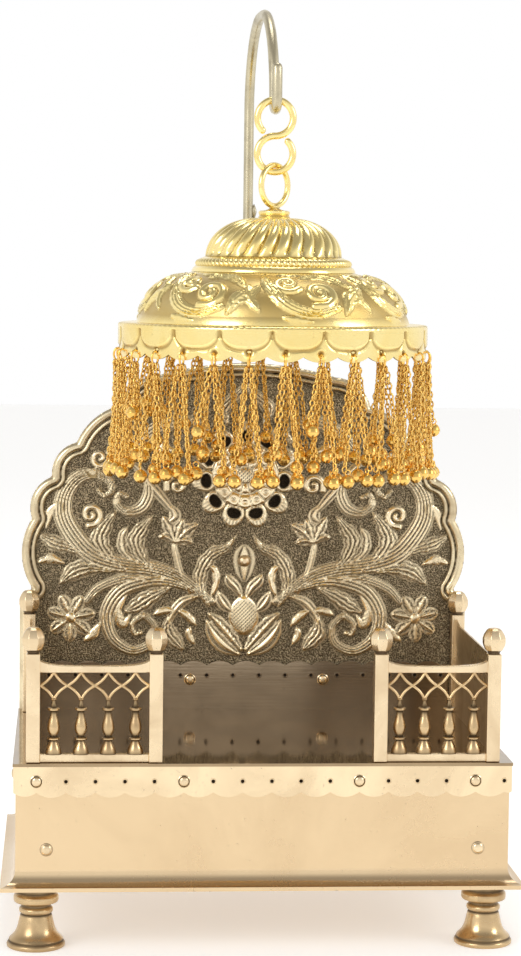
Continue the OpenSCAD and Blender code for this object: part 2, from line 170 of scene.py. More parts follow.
def brass(name, bright, dull, grime_and_shade, smooth=0.22, rough=0.42, brushed=(1, 1, 1), scratch_depth=0.00003, cloud_size=40.0, stipple=0.0):
    """A brass finish. A point's "hollow" value, from 0 to 1, says how dark it is painted there: partly tarnish, partly
    painted shade in grooves, creases, joints and openings.
    """
    finish, tree = new_finish(name)
    place = add_node(tree, "TexCoord", {})
    age = add_node(tree, "Group", {}, node_tree=old_brass)
    tree.links.new(place.outputs["Object"], age.inputs["Place"])
    age.inputs["Cloud Size"].default_value = cloud_size
    age.inputs["Scratch Stretch"].default_value = brushed
    metal = add_node(tree, "MixRGB", {0: age.outputs["Cloud"], 1: (*bright, 1), 2: (*dull, 1)})
    hollow = add_node(tree, "Attribute", {}, attribute_name="hollow")
    specks = add_node(tree, "Math", {0: age.outputs["Speck"], 1: 0.3}, operation="MULTIPLY")
    # darkened where specks of tarnish lie, and where the hollow value paints shade and tarnish
    dirt_and_shade = add_node(tree, "Math", {0: hollow.outputs["Fac"], 1: specks.outputs["Value"]}, operation="MAXIMUM")
    soil_and_shade = (*grime_and_shade, 1)
    if stipple:
        pits = add_node(tree, "TexVoronoi", {"Vector": place.outputs["Object"], "Scale": 1900.0})
        # a "hollow" value past 1 is a deep hollow, painted black all over as painted shade
        crest_limit = add_node(tree, "MapRange", {"Value": hollow.outputs["Fac"], "From Min": 1.0, "From Max": 1.4, "To Min": 0.75, "To Max": 0.0})
        crest = add_node(tree, "MapRange", {"Value": pits.outputs["Distance"], "From Min": 0.30, "From Max": 0.85, "To Max": crest_limit.outputs["Result"]})
        soil_and_shade = add_node(tree, "MixRGB", {0: crest.outputs["Result"], 1: (*grime_and_shade, 1), 2: (*dull, 1)}).outputs["Color"]
    colour = add_node(tree, "MixRGB", {0: dirt_and_shade.outputs["Value"], 1: metal.outputs["Color"], 2: soil_and_shade})
    gloss = add_node(tree, "MapRange", {"Value": age.outputs["Cloud"], "To Min": smooth, "To Max": rough})
    dull_dirt_and_shade = add_node(tree, "MapRange", {"Value": dirt_and_shade.outputs["Value"], "To Min": 0.0, "To Max": 0.35})
    roughness = add_node(tree, "Math", {0: gloss.outputs["Result"], 1: dull_dirt_and_shade.outputs["Result"]}, operation="ADD")
    height = age.outputs["Scratch"]
    if stipple:
        punched = add_node(tree, "Math", {0: pits.outputs["Distance"], 1: hollow.outputs["Fac"]}, operation="MULTIPLY")
        faint = add_node(tree, "Math", {0: height, 1: 0.12}, operation="MULTIPLY")
        deep = add_node(tree, "Math", {0: punched.outputs["Value"], 1: stipple, 2: faint.outputs["Value"]}, operation="MULTIPLY_ADD")
        height = deep.outputs["Value"]
    bump = add_node(tree, "Bump", {"Height": height, "Strength": 0.6, "Distance": scratch_depth})
    skin = add_node(tree, "BsdfPrincipled", {
        "Base Color": colour.outputs["Color"], "Metallic": 1.0,
        "Roughness": roughness.outputs["Value"], "Normal": bump.outputs["Normal"],
    })
    add_node(tree, "OutputMaterial", {"Surface": skin.outputs["BSDF"]})
    return finish


def dress(node, finish):
    """Gives a CAD node its finish."""
    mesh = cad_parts[node].data
    mesh.materials.clear()
    mesh.materials.append(finish)


wall_brass = brass("wall_brass", (0.77, 0.585, 0.36), (0.69, 0.51, 0.305), (0.12, 0.075, 0.04), brushed=(0.05, 0.05, 1), smooth=0.2, rough=0.32, cloud_size=14.0)
for side in ("front", "rear", "left", "right"):
    dress("plinth_" + side, wall_brass)
    dress("skirt_" + side, wall_brass)
dress("base_plate", wall_brass)


class Shape:
    """The points and faces of one piece, gathered before its mesh is made."""

    def __init__(self):
        self.points, self.faces, self.hollow = [], [], []

    def add(self, points, faces, hollow=None):
        start = len(self.points)
        self.points += [tuple(p) for p in points]
        self.faces += [[start + i for i in face] for face in faces]
        self.hollow += list(hollow) if hollow is not None else [0.0] * len(points)

    def block(self, low, high):
        x, y, z = zip(low, high)
        corners = [(x[i], y[j], z[k]) for i in (0, 1) for j in (0, 1) for k in (0, 1)]
        self.add(corners, [(0, 1, 3, 2), (4, 6, 7, 5), (0, 4, 5, 1), (2, 3, 7, 6), (0, 2, 6, 4), (1, 5, 7, 3)])

    def turned(self, profile, centre, sides=32, axis="Z", hollow=None):
        """A lathe-turned form: profile is (radius, height) points from one end to the other."""
        points = []
        for r, h in profile:
            for k in range(sides):
                a = 2 * math.pi * k / sides
                p = (r * math.cos(a), r * math.sin(a), h)
                p = p if axis == "Z" else (p[0], -p[2], p[1]) if axis == "-Y" else (p[0], p[2], p[1])
                points.append([p[i] + centre[i] for i in range(3)])
        faces = []
        for j in range(len(profile) - 1):
            for k in range(sides):
                n = (k + 1) % sides
                faces.append((j * sides + k, j * sides + n, (j + 1) * sides + n, (j + 1) * sides + k))
        faces.append(list(range(sides))[::-1])
        faces.append(list(range((len(profile) - 1) * sides, len(profile) * sides)))
        shade = [hollow[j] for j in range(len(profile)) for _ in range(sides)] if hollow else None
        self.add(points, faces, shade)

    def wire(self, path, radius, sides=12, closed=False):
        """A round wire along a path; radius is one number or one for each point of the path."""
        path = np.array(path, float)
        count = len(path)
        radii = np.full(count, radius) if np.isscalar(radius) else np.array(radius)
        ahead = np.roll(path, -1, 0) - np.roll(path, 1, 0)
        if not closed:
            ahead[0], ahead[-1] = path[1] - path[0], path[-1] - path[-2]
        ahead /= np.linalg.norm(ahead, axis=1)[:, None]
        side = np.cross(ahead[0], (0, 0, 1) if abs(ahead[0][2]) < 0.9 else (0, 1, 0))
        points = []
        for p, d, r in zip(path, ahead, radii):
            side = side - d * side.dot(d)
            side /= np.linalg.norm(side)
            other = np.cross(d, side)
            for k in range(sides):
                a = 2 * math.pi * k / sides
                points.append(p + r * (math.cos(a) * side + math.sin(a) * other))
        faces = []
        for j in range(count if closed else count - 1):
            for k in range(sides):
                n, m = (k + 1) % sides, (j + 1) % count
                faces.append((j * sides + k, j * sides + n, m * sides + n, m * sides + k))
        if not closed:
            faces.append(list(range(sides))[::-1])
            faces.append(list(range((count - 1) * sides, count * sides)))
        self.add(points, faces)


def make_piece(name, shape, finish, body, nodes=(), crisp=35, edge=0.0):
    """Makes the mesh, rounds its edges, and puts it in the place of its CAD nodes."""
    mesh = bpy.data.meshes.new(name)
    mesh.from_pydata(shape.points, [], shape.faces)
    mesh.attributes.new("hollow", "FLOAT", "POINT").data.foreach_set("value", np.array(shape.hollow, np.float32))
    mesh.shade_smooth()
    mesh.set_sharp_from_angle(angle=math.radians(crisp))
    mesh.materials.append(finish)
    piece = bpy.data.objects.new(name, mesh)
    bpy.context.scene.collection.objects.link(piece)
    if edge:
        rounding = piece.modifiers.new("edge", "BEVEL")
        rounding.width, rounding.segments, rounding.limit_method = edge, 2, "ANGLE"
        rounding.harden_normals = True
    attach(piece, body)
    if nodes:
        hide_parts(*nodes)
    return piece


rivet_low, rivet_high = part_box("plinth_rivets")
wall_low, wall_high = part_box("plinth_front")
rear_low, rear_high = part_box("plinth_rear")
pale_brass = brass("pale_brass", (0.86, 0.70, 0.46), (0.72, 0.55, 0.34), (0.10, 0.065, 0.04), smooth=0.2, rough=0.36)
rivets = Shape()
rivet_profile = [(0.0026, 0), (0.0026, 0.0003), (0.0024, 0.0005), (0.0021, 0.0006), (0.0019, 0.0009), (0.0013, 0.0012), (0.0004, 0.0013)]
# painted shade and tarnish round the foot of each rivet head, where it meets the wall
rivet_grime_and_shade = [0.9, 0.7, 0.4, 0.1, 0, 0, 0]
for x in (rivet_low.x + 0.0025, rivet_high.x - 0.0025):
    z = (rivet_low.z + rivet_high.z) / 2
    rivets.turned(rivet_profile, (x, wall_low.y, z), 24, "-Y", rivet_grime_and_shade)
    rivets.turned(rivet_profile, (x, rear_high.y, z), 24, "+Y", rivet_grime_and_shade)
make_piece("rivets", rivets, pale_brass, "throne", ["plinth_rivets"])


# ---- Feet ----
# Four cast brass feet, turned on a lathe to a bell with a beaded neck and a flat disc on top.
# The turned grooves are painted dark, partly tarnish and partly painted shade, and their rims are rubbed bright.

foot_profile_mm = [
    (0, 0), (11.9, 0), (12.4, 0.4), (12.5, 1.4), (12.1, 2.1), (11.5, 2.5), (11.4, 3.0), (11.6, 3.3),
    (11.2, 3.9), (10.2, 4.8), (9.2, 5.9), (8.4, 7.4), (7.8, 9.2), (7.3, 11.4), (6.9, 13.2), (6.5, 14.2),
    (6.6, 14.6), (7.1, 15.0), (7.3, 15.7), (7.2, 16.5), (6.7, 17.0), (6.2, 17.3), (6.1, 17.9), (6.5, 18.6),
    (8.2, 19.0), (9.3, 19.4), (9.6, 20.1), (9.6, 21.8), (9.3, 22.4), (8.6, 22.9), (8.4, 23.6), (8.4, 26), (0, 26),
]
groove_heights_mm = (2.7, 14.2, 17.6, 23.4)
cast_brass = brass("cast_brass", (0.70, 0.51, 0.28), (0.42, 0.285, 0.15), (0.05, 0.032, 0.018), smooth=0.2, rough=0.4, brushed=(1, 1, 0.1))
for name in ("front_left", "front_right", "rear_left", "rear_right"):
    low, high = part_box("foot_" + name)
    scale = (high.z - low.z) / 26
    profile = [(r * scale, h * scale) for r, h in foot_profile_mm]
    # painted shade and tarnish in each turned groove
    dirt_and_shade = [max(math.exp(-((h - g) / 0.5) ** 2) for g in groove_heights_mm) for r, h in foot_profile_mm]
    foot = Shape()
    foot.turned(profile, ((low.x + high.x) / 2, (low.y + high.y) / 2, low.z), 64, "Z", dirt_and_shade)
    make_piece("foot_" + name + "_turned", foot, cast_brass, "throne", ["foot_" + name], crisp=50)


# ---- Seat plate and its scalloped apron ----
# The seat is one polished sheet. Under its edge runs a strip cut into lobes, with a punched hole
# at every notch, held by small round-headed screws that sit in some of the holes.

seat_brass = brass("seat_brass", (0.40, 0.29, 0.17), (0.29, 0.21, 0.125), (0.08, 0.05, 0.03), smooth=0.05, rough=0.12, cloud_size=18.0, brushed=(0.06, 1, 1), scratch_depth=0.000004)
dress("seat_plate", seat_brass)

pitch = 0.0117
hole_r = 0.00085


def punched_strip(name, length, first, depth, notch=0.002, thick=0.0008):
    """A flat strip from z = 0 down to -depth, lobed along its lower edge, with a hole at each notch."""
    notches = []
    x = first
    while x < length / 2 - 0.001:
        notches.append(x)
        x += pitch
    edge = [-length / 2] + notches + [length / 2]
    outline = []
    for a, b in zip(edge[:-1], edge[1:]):
        bulge = notch * (b - a) / pitch
        for k in range(12):
            t = k / 12
            outline.append((a + (b - a) * t, -depth + notch - 4 * bulge * t * (1 - t)))
    outline += [(length / 2, -depth + notch), (length / 2, 0), (-length / 2, 0)]
    curve = bpy.data.curves.new(name, "CURVE")
    curve.dimensions, curve.fill_mode = "2D", "BOTH"
    curve.extrude, curve.bevel_depth, curve.bevel_resolution = thick / 2 - 0.0001, 0.0001, 1
    circles = [[(x + hole_r * math.cos(k * math.pi / 8), -depth + 0.0064 + hole_r * math.sin(k * math.pi / 8)) for k in range(16)] for x in notches]
    for ring in [outline] + circles:
        spline = curve.splines.new("POLY")
        spline.points.add(len(ring) - 1)
        for point, (u, v) in zip(spline.points, ring):
            point.co = (u, v, 0, 1)
        spline.use_cyclic_u = True
    flat = bpy.data.objects.new(name + "_flat", curve)
    cut = bpy.data.meshes.new_from_object(flat)
    points = np.array([v.co for v in cut.vertices])
    faces = [list(p.vertices) for p in cut.polygons]
    return points, faces, notches


def stand_strip(name, node, first, face, finish, flip=False, screws=()):
    """Stands a strip upright over its CAD node, with a thin ring round each hole. The screws argument is not used."""
    low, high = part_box(node)
    along = 0 if face in ("-Y", "+Y") else 1
    length, depth = high[along] - low[along], high.z - low.z
    points, faces, notches = punched_strip(name, length, first, depth)
    middle = [(low[i] + high[i]) / 2 for i in range(3)]
    base = low.z if flip else high.z
    turned = {"-Y": (1, 0), "+Y": (-1, 0), "+X": (0, 1), "-X": (0, -1)}[face]
    shape = Shape()
    placed = []
    for u, v, w in points:
        z = base + (-v if flip else v)
        if along == 0:
            placed.append((middle[0] + turned[0] * u, middle[1] + w, z))
        else:
            placed.append((middle[0] + w, middle[1] + turned[1] * u, z))
    hole_z = depth - 0.0064
    shape.add(placed, faces)
    front = {"-Y": low.y, "+Y": high.y, "+X": high.x, "-X": low.x}[face]
    for x in notches:
        z = base + (hole_z if flip else -hole_z)
        if along == 0:
            at = lambda k: (middle[0] + turned[0] * x + 0.00115 * math.cos(k), front, z + 0.00115 * math.sin(k))
        else:
            at = lambda k: (front, middle[1] + turned[1] * x + 0.00115 * math.cos(k), z + 0.00115 * math.sin(k))
        shape.wire([at(2 * math.pi * k / 16) for k in range(16)], 0.00016, 5, closed=True)
        inward = {"-Y": (0, 1), "+Y": (0, -1), "+X": (-1, 0), "-X": (1, 0)}[face]
        ends = [(sum(at(k * math.pi)[i] for k in (0, 1)) / 2) for i in range(3)]
        # a disc painted black just behind each hole: painted shade for the dark gap behind the strip
        pit = [tuple(ends[i] + (hole_r * 1.05 / 0.00115) * (at(2 * math.pi * k / 16)[i] - ends[i]) + 0.0005 * (*inward, 0)[i] for i in range(3)) for k in range(16)]
        shape.add(pit, [list(range(16)), list(range(16))[::-1]][:1], [1.0] * 16)
    make_piece(name, shape, finish, "throne", [node], crisp=12)


apron_brass = brass("apron_brass", (0.92, 0.74, 0.48), (0.74, 0.57, 0.36), (0.03, 0.02, 0.012), smooth=0.16, rough=0.32, cloud_size=26.0, brushed=(0.05, 0.05, 1))
stand_strip("apron_front_strip", "apron_front", -0.0906, "-Y", apron_brass)
stand_strip("apron_rear_strip", "apron_rear", -0.0906, "+Y", apron_brass)
stand_strip("apron_left_strip", "apron_left", -0.0585, "-X", apron_brass)
stand_strip("apron_right_strip", "apron_right", -0.0585, "+X", apron_brass)

screw_profile = [(0.0020, 0), (0.0020, 0.0003), (0.0018, 0.0006), (0.0014, 0.0009), (0.0008, 0.00108), (0.0001, 0.0011)]
# painted shade and tarnish round the foot of each screw head
screw_grime_and_shade = [0.9, 0.5, 0.1, 0, 0, 0]
apron_low, apron_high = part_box("apron_front")
apron_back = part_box("apron_rear")[1].y
left_face, right_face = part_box("apron_left")[0].x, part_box("apron_right")[1].x
foot_strip_low, foot_strip_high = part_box("back_strip")
screw_z = apron_low.z + 0.0064
screws = Shape()


def round_screw(place, way):
    """A domed screw head with a turned dish round it."""
    # the dish is painted dark at its foot and where it meets the head: painted shade and tarnish
    dish = [(0.0026, 0), (0.0026, 0.00025), (0.0023, 0.00045), (0.0021, 0.00015), (0.0020, 0)]
    if way in ("-Y", "+Y"):
        screws.turned(dish, place, 24, way, [0.7, 0, 0, 0.9, 1])
        screws.turned(screw_profile, place, 20, way, screw_grime_and_shade)
    else:
        start = len(screws.points)
        screws.turned(dish, (0, 0, 0), 24, "-Y", [0.7, 0, 0, 0.9, 1])
        screws.turned(screw_profile, (0, 0, 0), 20, "-Y", screw_grime_and_shade)
        sign = 1 if way == "+X" else -1
        for i in range(start, len(screws.points)):
            px, py, pz = screws.points[i]
            screws.points[i] = (place[0] - sign * py, place[1] + sign * px, place[2] + pz)


for x in (-0.0906, -0.0321, 0.0381, 0.0849):
    round_screw((x, apron_low.y, screw_z), "-Y")
    round_screw((-x, apron_back, screw_z), "+Y")
for y in (-0.0468, 0, 0.0468):
    middle_y = (apron_low.y + apron_back) / 2
    round_screw((left_face, middle_y + y, screw_z), "-X")
    round_screw((right_face, middle_y + y, screw_z), "+X")
for x in (-0.0238, 0.0358):
    round_screw((x, foot_strip_low.y, foot_strip_high.z - 0.0083), "-Y")
make_piece("screws", screws, pale_brass, "throne", ["strip_screws"])


# ---- Railings ----
# Two cast railings, filed flat on their faces: square posts, a lattice of thin wires that meet in
# diamonds, and four turned balusters on a sill. The top rail dips and swells into its posts.

baluster_profile_mm = [
    (3.25, -0.1), (3.2, 0.5), (3.1, 1.2), (2.9, 2.1), (2.5, 3.1), (2.0, 4.1), (1.6, 4.9), (1.4, 5.4), (2.2, 5.6),
    (2.5, 5.9), (2.5, 6.3), (2.2, 6.6), (1.5, 6.8), (1.35, 7.1), (1.7, 7.8), (2.2, 8.8), (2.5, 10.0), (2.45, 11.2),
    (2.1, 12.8), (1.7, 14.2), (1.35, 15.6), (1.25, 16.8), (1.7, 17.3), (2.3, 17.6), (2.45, 18.1), (2.2, 18.5),
    (1.4, 18.7), (1.0, 19.3), (0.7, 20.3), (0.65, 22.4), (0.1, 22.4),
]
# painted shade and tarnish at the foot, in the waists and under each collar of the balusters
baluster_grime_and_shade = [0.8, 0.4, 0.1, 0, 0, 0.1, 0.5, 1, 0.6, 0, 0, 0.5, 1, 0.9, 0.3, 0, 0, 0, 0, 0.1, 0.3, 0.9, 0.7, 0, 0, 0.2, 0.9, 0.8, 0.5, 0.6, 0.6]
railing_brass = brass("railing_brass", (0.88, 0.71, 0.47), (0.70, 0.53, 0.33), (0.06, 0.04, 0.022), smooth=0.22, rough=0.4, brushed=(1, 1, 0.08))
post_w = 0.0055
for side in ("left", "right"):
    low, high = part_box("railing_" + side)
    floor, inner_low, inner_high = low.z, low.x + post_w, high.x - post_w
    middle = low.y + post_w / 2
    front, back = middle - 0.0017, middle + 0.0017
    posts = Shape()
    for x in (low.x, high.x - post_w):
        posts.block((x, low.y, floor), (x + post_w, low.y + post_w, high.z))
    posts.block((inner_low - 0.0002, front, floor), (inner_high + 0.0002, back, floor + 0.0034))
    steps = 24
    rail = []
    for k in range(steps + 1):
        t = k / steps
        x = inner_low - 0.0002 + (inner_high - inner_low + 0.0004) * t
        swell = 0.0022 * (math.exp(-t / 0.09) + math.exp(-(1 - t) / 0.09))
        rail += [(x, front, floor + 0.036), (x, back, floor + 0.036), (x, back, floor + 0.0387 + swell), (x, front, floor + 0.0387 + swell)]
    rail_faces = [(4 * k + i, 4 * k + 4 + i, 4 * k + 4 + (i + 1) % 4, 4 * k + (i + 1) % 4) for k in range(steps) for i in range(4)]
    posts.add(rail, rail_faces + [(3, 2, 1, 0), tuple(4 * steps + i for i in range(4))])
    make_piece("railing_" + side + "_frame", posts, railing_brass, "throne", ["railing_" + side], edge=0.0004)
    turnings = Shape()
    step = (inner_high - inner_low) / 4
    for k in range(4):
        x = inner_low + (k + 0.5) * step
        turnings.turned([(r * MM, h * MM) for r, h in baluster_profile_mm], (x, middle, floor + 0.0034), 28, "Z", baluster_grime_and_shade)
        crown, foot, centre = floor + 0.0361, floor + 0.0252, floor + 0.0306
        bow = 0.0006
        for way in (-1, 1):
            for a, b in (((x, centre + 0.0054), (x + way * step / 2, centre)), ((x + way * step / 2, centre), (x, centre - 0.0054))):
                path = []
                for i in range(9):
                    t = i / 8
                    sag = bow * math.sin(math.pi * t)
                    path.append((a[0] + (b[0] - a[0]) * t - way * sag * 0.7, middle, a[1] + (b[1] - a[1]) * t + sag * (0.7 if a[1] < b[1] or b[1] < centre else -0.7)))
                turnings.wire(path, 0.00062, 10)
        turnings.turned([(0.0001, -0.0009), (0.0009, -0.0004), (0.0011, 0), (0.0009, 0.0004), (0.0001, 0.0009)], (x, middle, foot), 12)
    make_piece("railing_" + side + "_lattice", turnings, cast_brass, "throne", crisp=40)


# ---- Side panels, rear posts and finials ----
# Plain sheet panels, brushed from top to bottom, run back from the railings to two square posts.
# Each post carries an eight-sided cast knob on a thin neck, its faces filed flat.

panel_brass = brass("panel_brass", (0.78, 0.62, 0.40), (0.56, 0.42, 0.26), (0.07, 0.045, 0.028), smooth=0.24, rough=0.42, brushed=(1, 1, 0.03), scratch_depth=0.00005)
for side in ("left", "right"):
    dress("side_panel_" + side, panel_brass)
    low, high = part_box("rear_post_" + side)
    post = Shape()
    post.block(low, high)
    make_piece("rear_post_" + side + "_filed", post, railing_brass, "throne", ["rear_post_" + side], edge=0.0004)

knob_profile_mm = [(0, 0), (2.5, 0), (2.6, 0.7), (2.9, 1.0), (3.6, 1.5), (4.5, 3.2), (4.8, 4.3), (4.8, 6.3), (4.3, 7.7), (3.2, 9.4), (2.1, 10.2), (0.9, 10.4)]
for name in ("left_outer", "left_inner", "right_inner", "right_outer", "rear_left", "rear_right"):
    low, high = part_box("finial_" + name)
    centre = ((low.x + high.x) / 2, (low.y + high.y) / 2, low.z)
    scale = (high.z - low.z) / 10.4
    knob = Shape()
    points, faces = [], []
    for r, h in knob_profile_mm:
        for k in range(8):
            a = math.pi * (k + 0.5) / 4
            points.append((centre[0] + r * scale * math.cos(a), centre[1] + r * scale * math.sin(a), centre[2] + h * scale))
    rows = len(knob_profile_mm)
    for j in range(rows - 1):
        for k in range(8):
            n = (k + 1) % 8
            faces.append((8 * j + k, 8 * j + n, 8 * j + 8 + n, 8 * j + 8 + k))
    faces.append(tuple(range(8 * rows - 8, 8 * rows)))
    # the neck of each knob, just above its post, is painted dark: painted shade and tarnish
    knob.add(points, faces, [0.9 if j in (1, 2, 3) else 0.0 for j in range(rows) for _ in range(8)])
    make_piece("finial_" + name + "_knob", knob, pale_brass, "throne", ["finial_" + name], crisp=18, edge=0.0003)


# ---- Backrest: embossed sheet and its beaded frame ----
# One sheet of brass, hammered from behind over a carved form. Scrolling acanthus grows from a seed
# head at the foot to both sides, round a rosette, on a ground of punched dots black with age.
# A doubled bead follows the lobed edge and stands a little proud of the sheet.

frame_low, frame_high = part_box("back_border")
sheet_low, sheet_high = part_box("back_panel")
corners_mm = [(99.5, 75.5), (99.5, 124), (94, 129.5), (94.3, 160.5), (85.6, 179), (74.8, 194.3), (55.5, 211), (40, 224), (-40, 224)]
bulges_mm = [0, 0, 4.6, 4.2, 3.6, 3, 3.4, 6]


def lobed_edge():
    """The right half of the sheet's outline, from its foot to its top, in millimetres."""
    line = []
    for (ax, az), (bx, bz), h in zip(corners_mm[:-1], corners_mm[1:], bulges_mm):
        if not h:
            line.append((ax, az))
            continue
        half = math.hypot(bx - ax, bz - az) / 2
        r = (half * half + h * h) / (2 * h)
        nx, nz = (bz - az) / (2 * half), (ax - bx) / (2 * half)
        cx, cz = (ax + bx) / 2 - nx * (r - h), (az + bz) / 2 - nz * (r - h)
        spread, centre = math.asin(half / r), math.atan2(nz, nx)
        line += [(cx + r * math.cos(centre - spread + 2 * spread * k / 40), cz + r * math.sin(centre - spread + 2 * spread * k / 40)) for k in range(40)]
    return np.array([p for p in line if p[0] > -0.5])


edge_mm = lobed_edge()


def edge_distance(x, z):
    """Distance inwards from the outline, and the nearest point on it, for each point."""
    best = np.full(x.shape, 1e9)
    near_x, near_z = np.zeros(x.shape), np.zeros(x.shape)
    for (ax, az), (bx, bz) in zip(edge_mm[:-1], edge_mm[1:]):
        dx, dz = bx - ax, bz - az
        t = np.clip(((x - ax) * dx + (z - az) * dz) / (dx * dx + dz * dz), 0, 1)
        px, pz = ax + t * dx, az + t * dz
        d = np.hypot(x - px, z - pz)
        closer = d < best
        best = np.where(closer, d, best)
        near_x, near_z = np.where(closer, px, near_x), np.where(closer, pz, near_z)
    inside = np.zeros(x.shape, bool)
    ring = np.vstack([edge_mm, [(-1, edge_mm[-1][1]), (-1, edge_mm[0][1])]])
    for (ax, az), (bx, bz) in zip(ring, np.roll(ring, -1, 0)):
        crosses = (az > z) != (bz > z)
        with np.errstate(divide="ignore", invalid="ignore"):
            inside ^= crosses & (x < (bx - ax) * (z - az) / (bz - az) + ax)
    return np.where(inside, best, -best), near_x, near_z


def smooth_line(points, steps=7):
    """A smooth line through the given points, with every given value carried along."""
    p = np.array(points, float)
    p = np.vstack([2 * p[0] - p[1], p, 2 * p[-1] - p[-2]])
    line = []
    for i in range(1, len(p) - 2):
        for k in range(steps):
            t = k / steps
            a, b, c, d = p[i - 1], p[i], p[i + 1], p[i + 2]
            line.append(0.5 * (2 * b + (c - a) * t + (2 * a - 5 * b + 4 * c - d) * t * t + (3 * b - a - 3 * c + d) * t ** 3))
    line.append(p[-2])
    return np.array(line)


def emboss(field, x, z, points, tall, ribs=0, lobes=0, rib_depth=0.5, vein=None):
    """Raises a ridge along a line of (x, z, half width) points: ribbed, or lobed at its edges like a leaf.

    vein, where given, collects the dark lines that are chased between the ribs and across the leaves: painted shade and
    tarnish in the chased grooves."""
    line = smooth_line(points)
    reach = line[:, 2].max() * 1.3 + 0.5
    near = (x > line[:, 0].min() - reach) & (x < line[:, 0].max() + reach) & (z > line[:, 1].min() - reach) & (z < line[:, 1].max() + reach)
    if not near.any():
        return
    px, pz = x[near], z[near]
    share, width, away, gone = np.full(px.shape, 9.0), np.ones(px.shape), np.zeros(px.shape), np.zeros(px.shape)
    total, start = len(line) - 1, 0.0
    for i in range(total):
        (ax, az, aw), (bx, bz, bw) = line[i], line[i + 1]
        dx, dz = bx - ax, bz - az
        length = max(math.hypot(dx, dz), 1e-6)
        t = np.clip(((px - ax) * dx + (pz - az) * dz) / (length * length), 0, 1)
        d = np.hypot(px - ax - t * dx, pz - az - t * dz)
        w = np.maximum(aw + (bw - aw) * t, 0.05) * 1.16
        if lobes:
            w = w * (0.78 + 0.3 * np.abs(np.sin(math.pi * lobes * (i + t) / total)))
        closer = d / w < share
        share, width = np.where(closer, d / w, share), np.where(closer, w, width)
        away, gone = np.where(closer, d, away), np.where(closer, start + length * t, gone)
        start += length
    u = np.minimum(share, 1)
    form = np.sqrt(1 - u * u) * np.minimum(1, width / 1.2 + 0.3)
    chased = np.zeros(u.shape)
    if ribs:
        groove = 0.5 - 0.5 * np.cos(2 * math.pi * ribs * u)
        form = form * (1 - rib_depth * groove)
        # chased grooves painted dark: painted shade and tarnish
        chased = groove ** 3 * np.clip(width - 0.9, 0, 1)
    if lobes:
        across = (0.5 + 0.5 * np.cos(2 * math.pi * (gone / 2.3 - away / 2.0))) ** 3
        across = across * np.clip(width - 1.3, 0, 1) * (u > 0.12)
        form = form - 0.16 * across
        chased = np.maximum(chased, 0.6 * across)
    higher = (u < 1) & (tall * form > field[near])
    field[near] = np.where(higher, tall * form, field[near])
    if vein is not None:
        vein[near] = np.where(higher, chased, vein[near])


def scroll(cx, cz, r, start, turns, width, way=1):
    """Points of a spiral that winds inwards."""
    points = []
    for k in range(15):
        t = k / 14
        a = start + way * 2 * math.pi * turns * t
        q = r * (1 - 0.82 * t)
        points.append((cx + q * math.cos(a), cz + q * math.sin(a), width * (1 - 0.35 * t)))
    return points


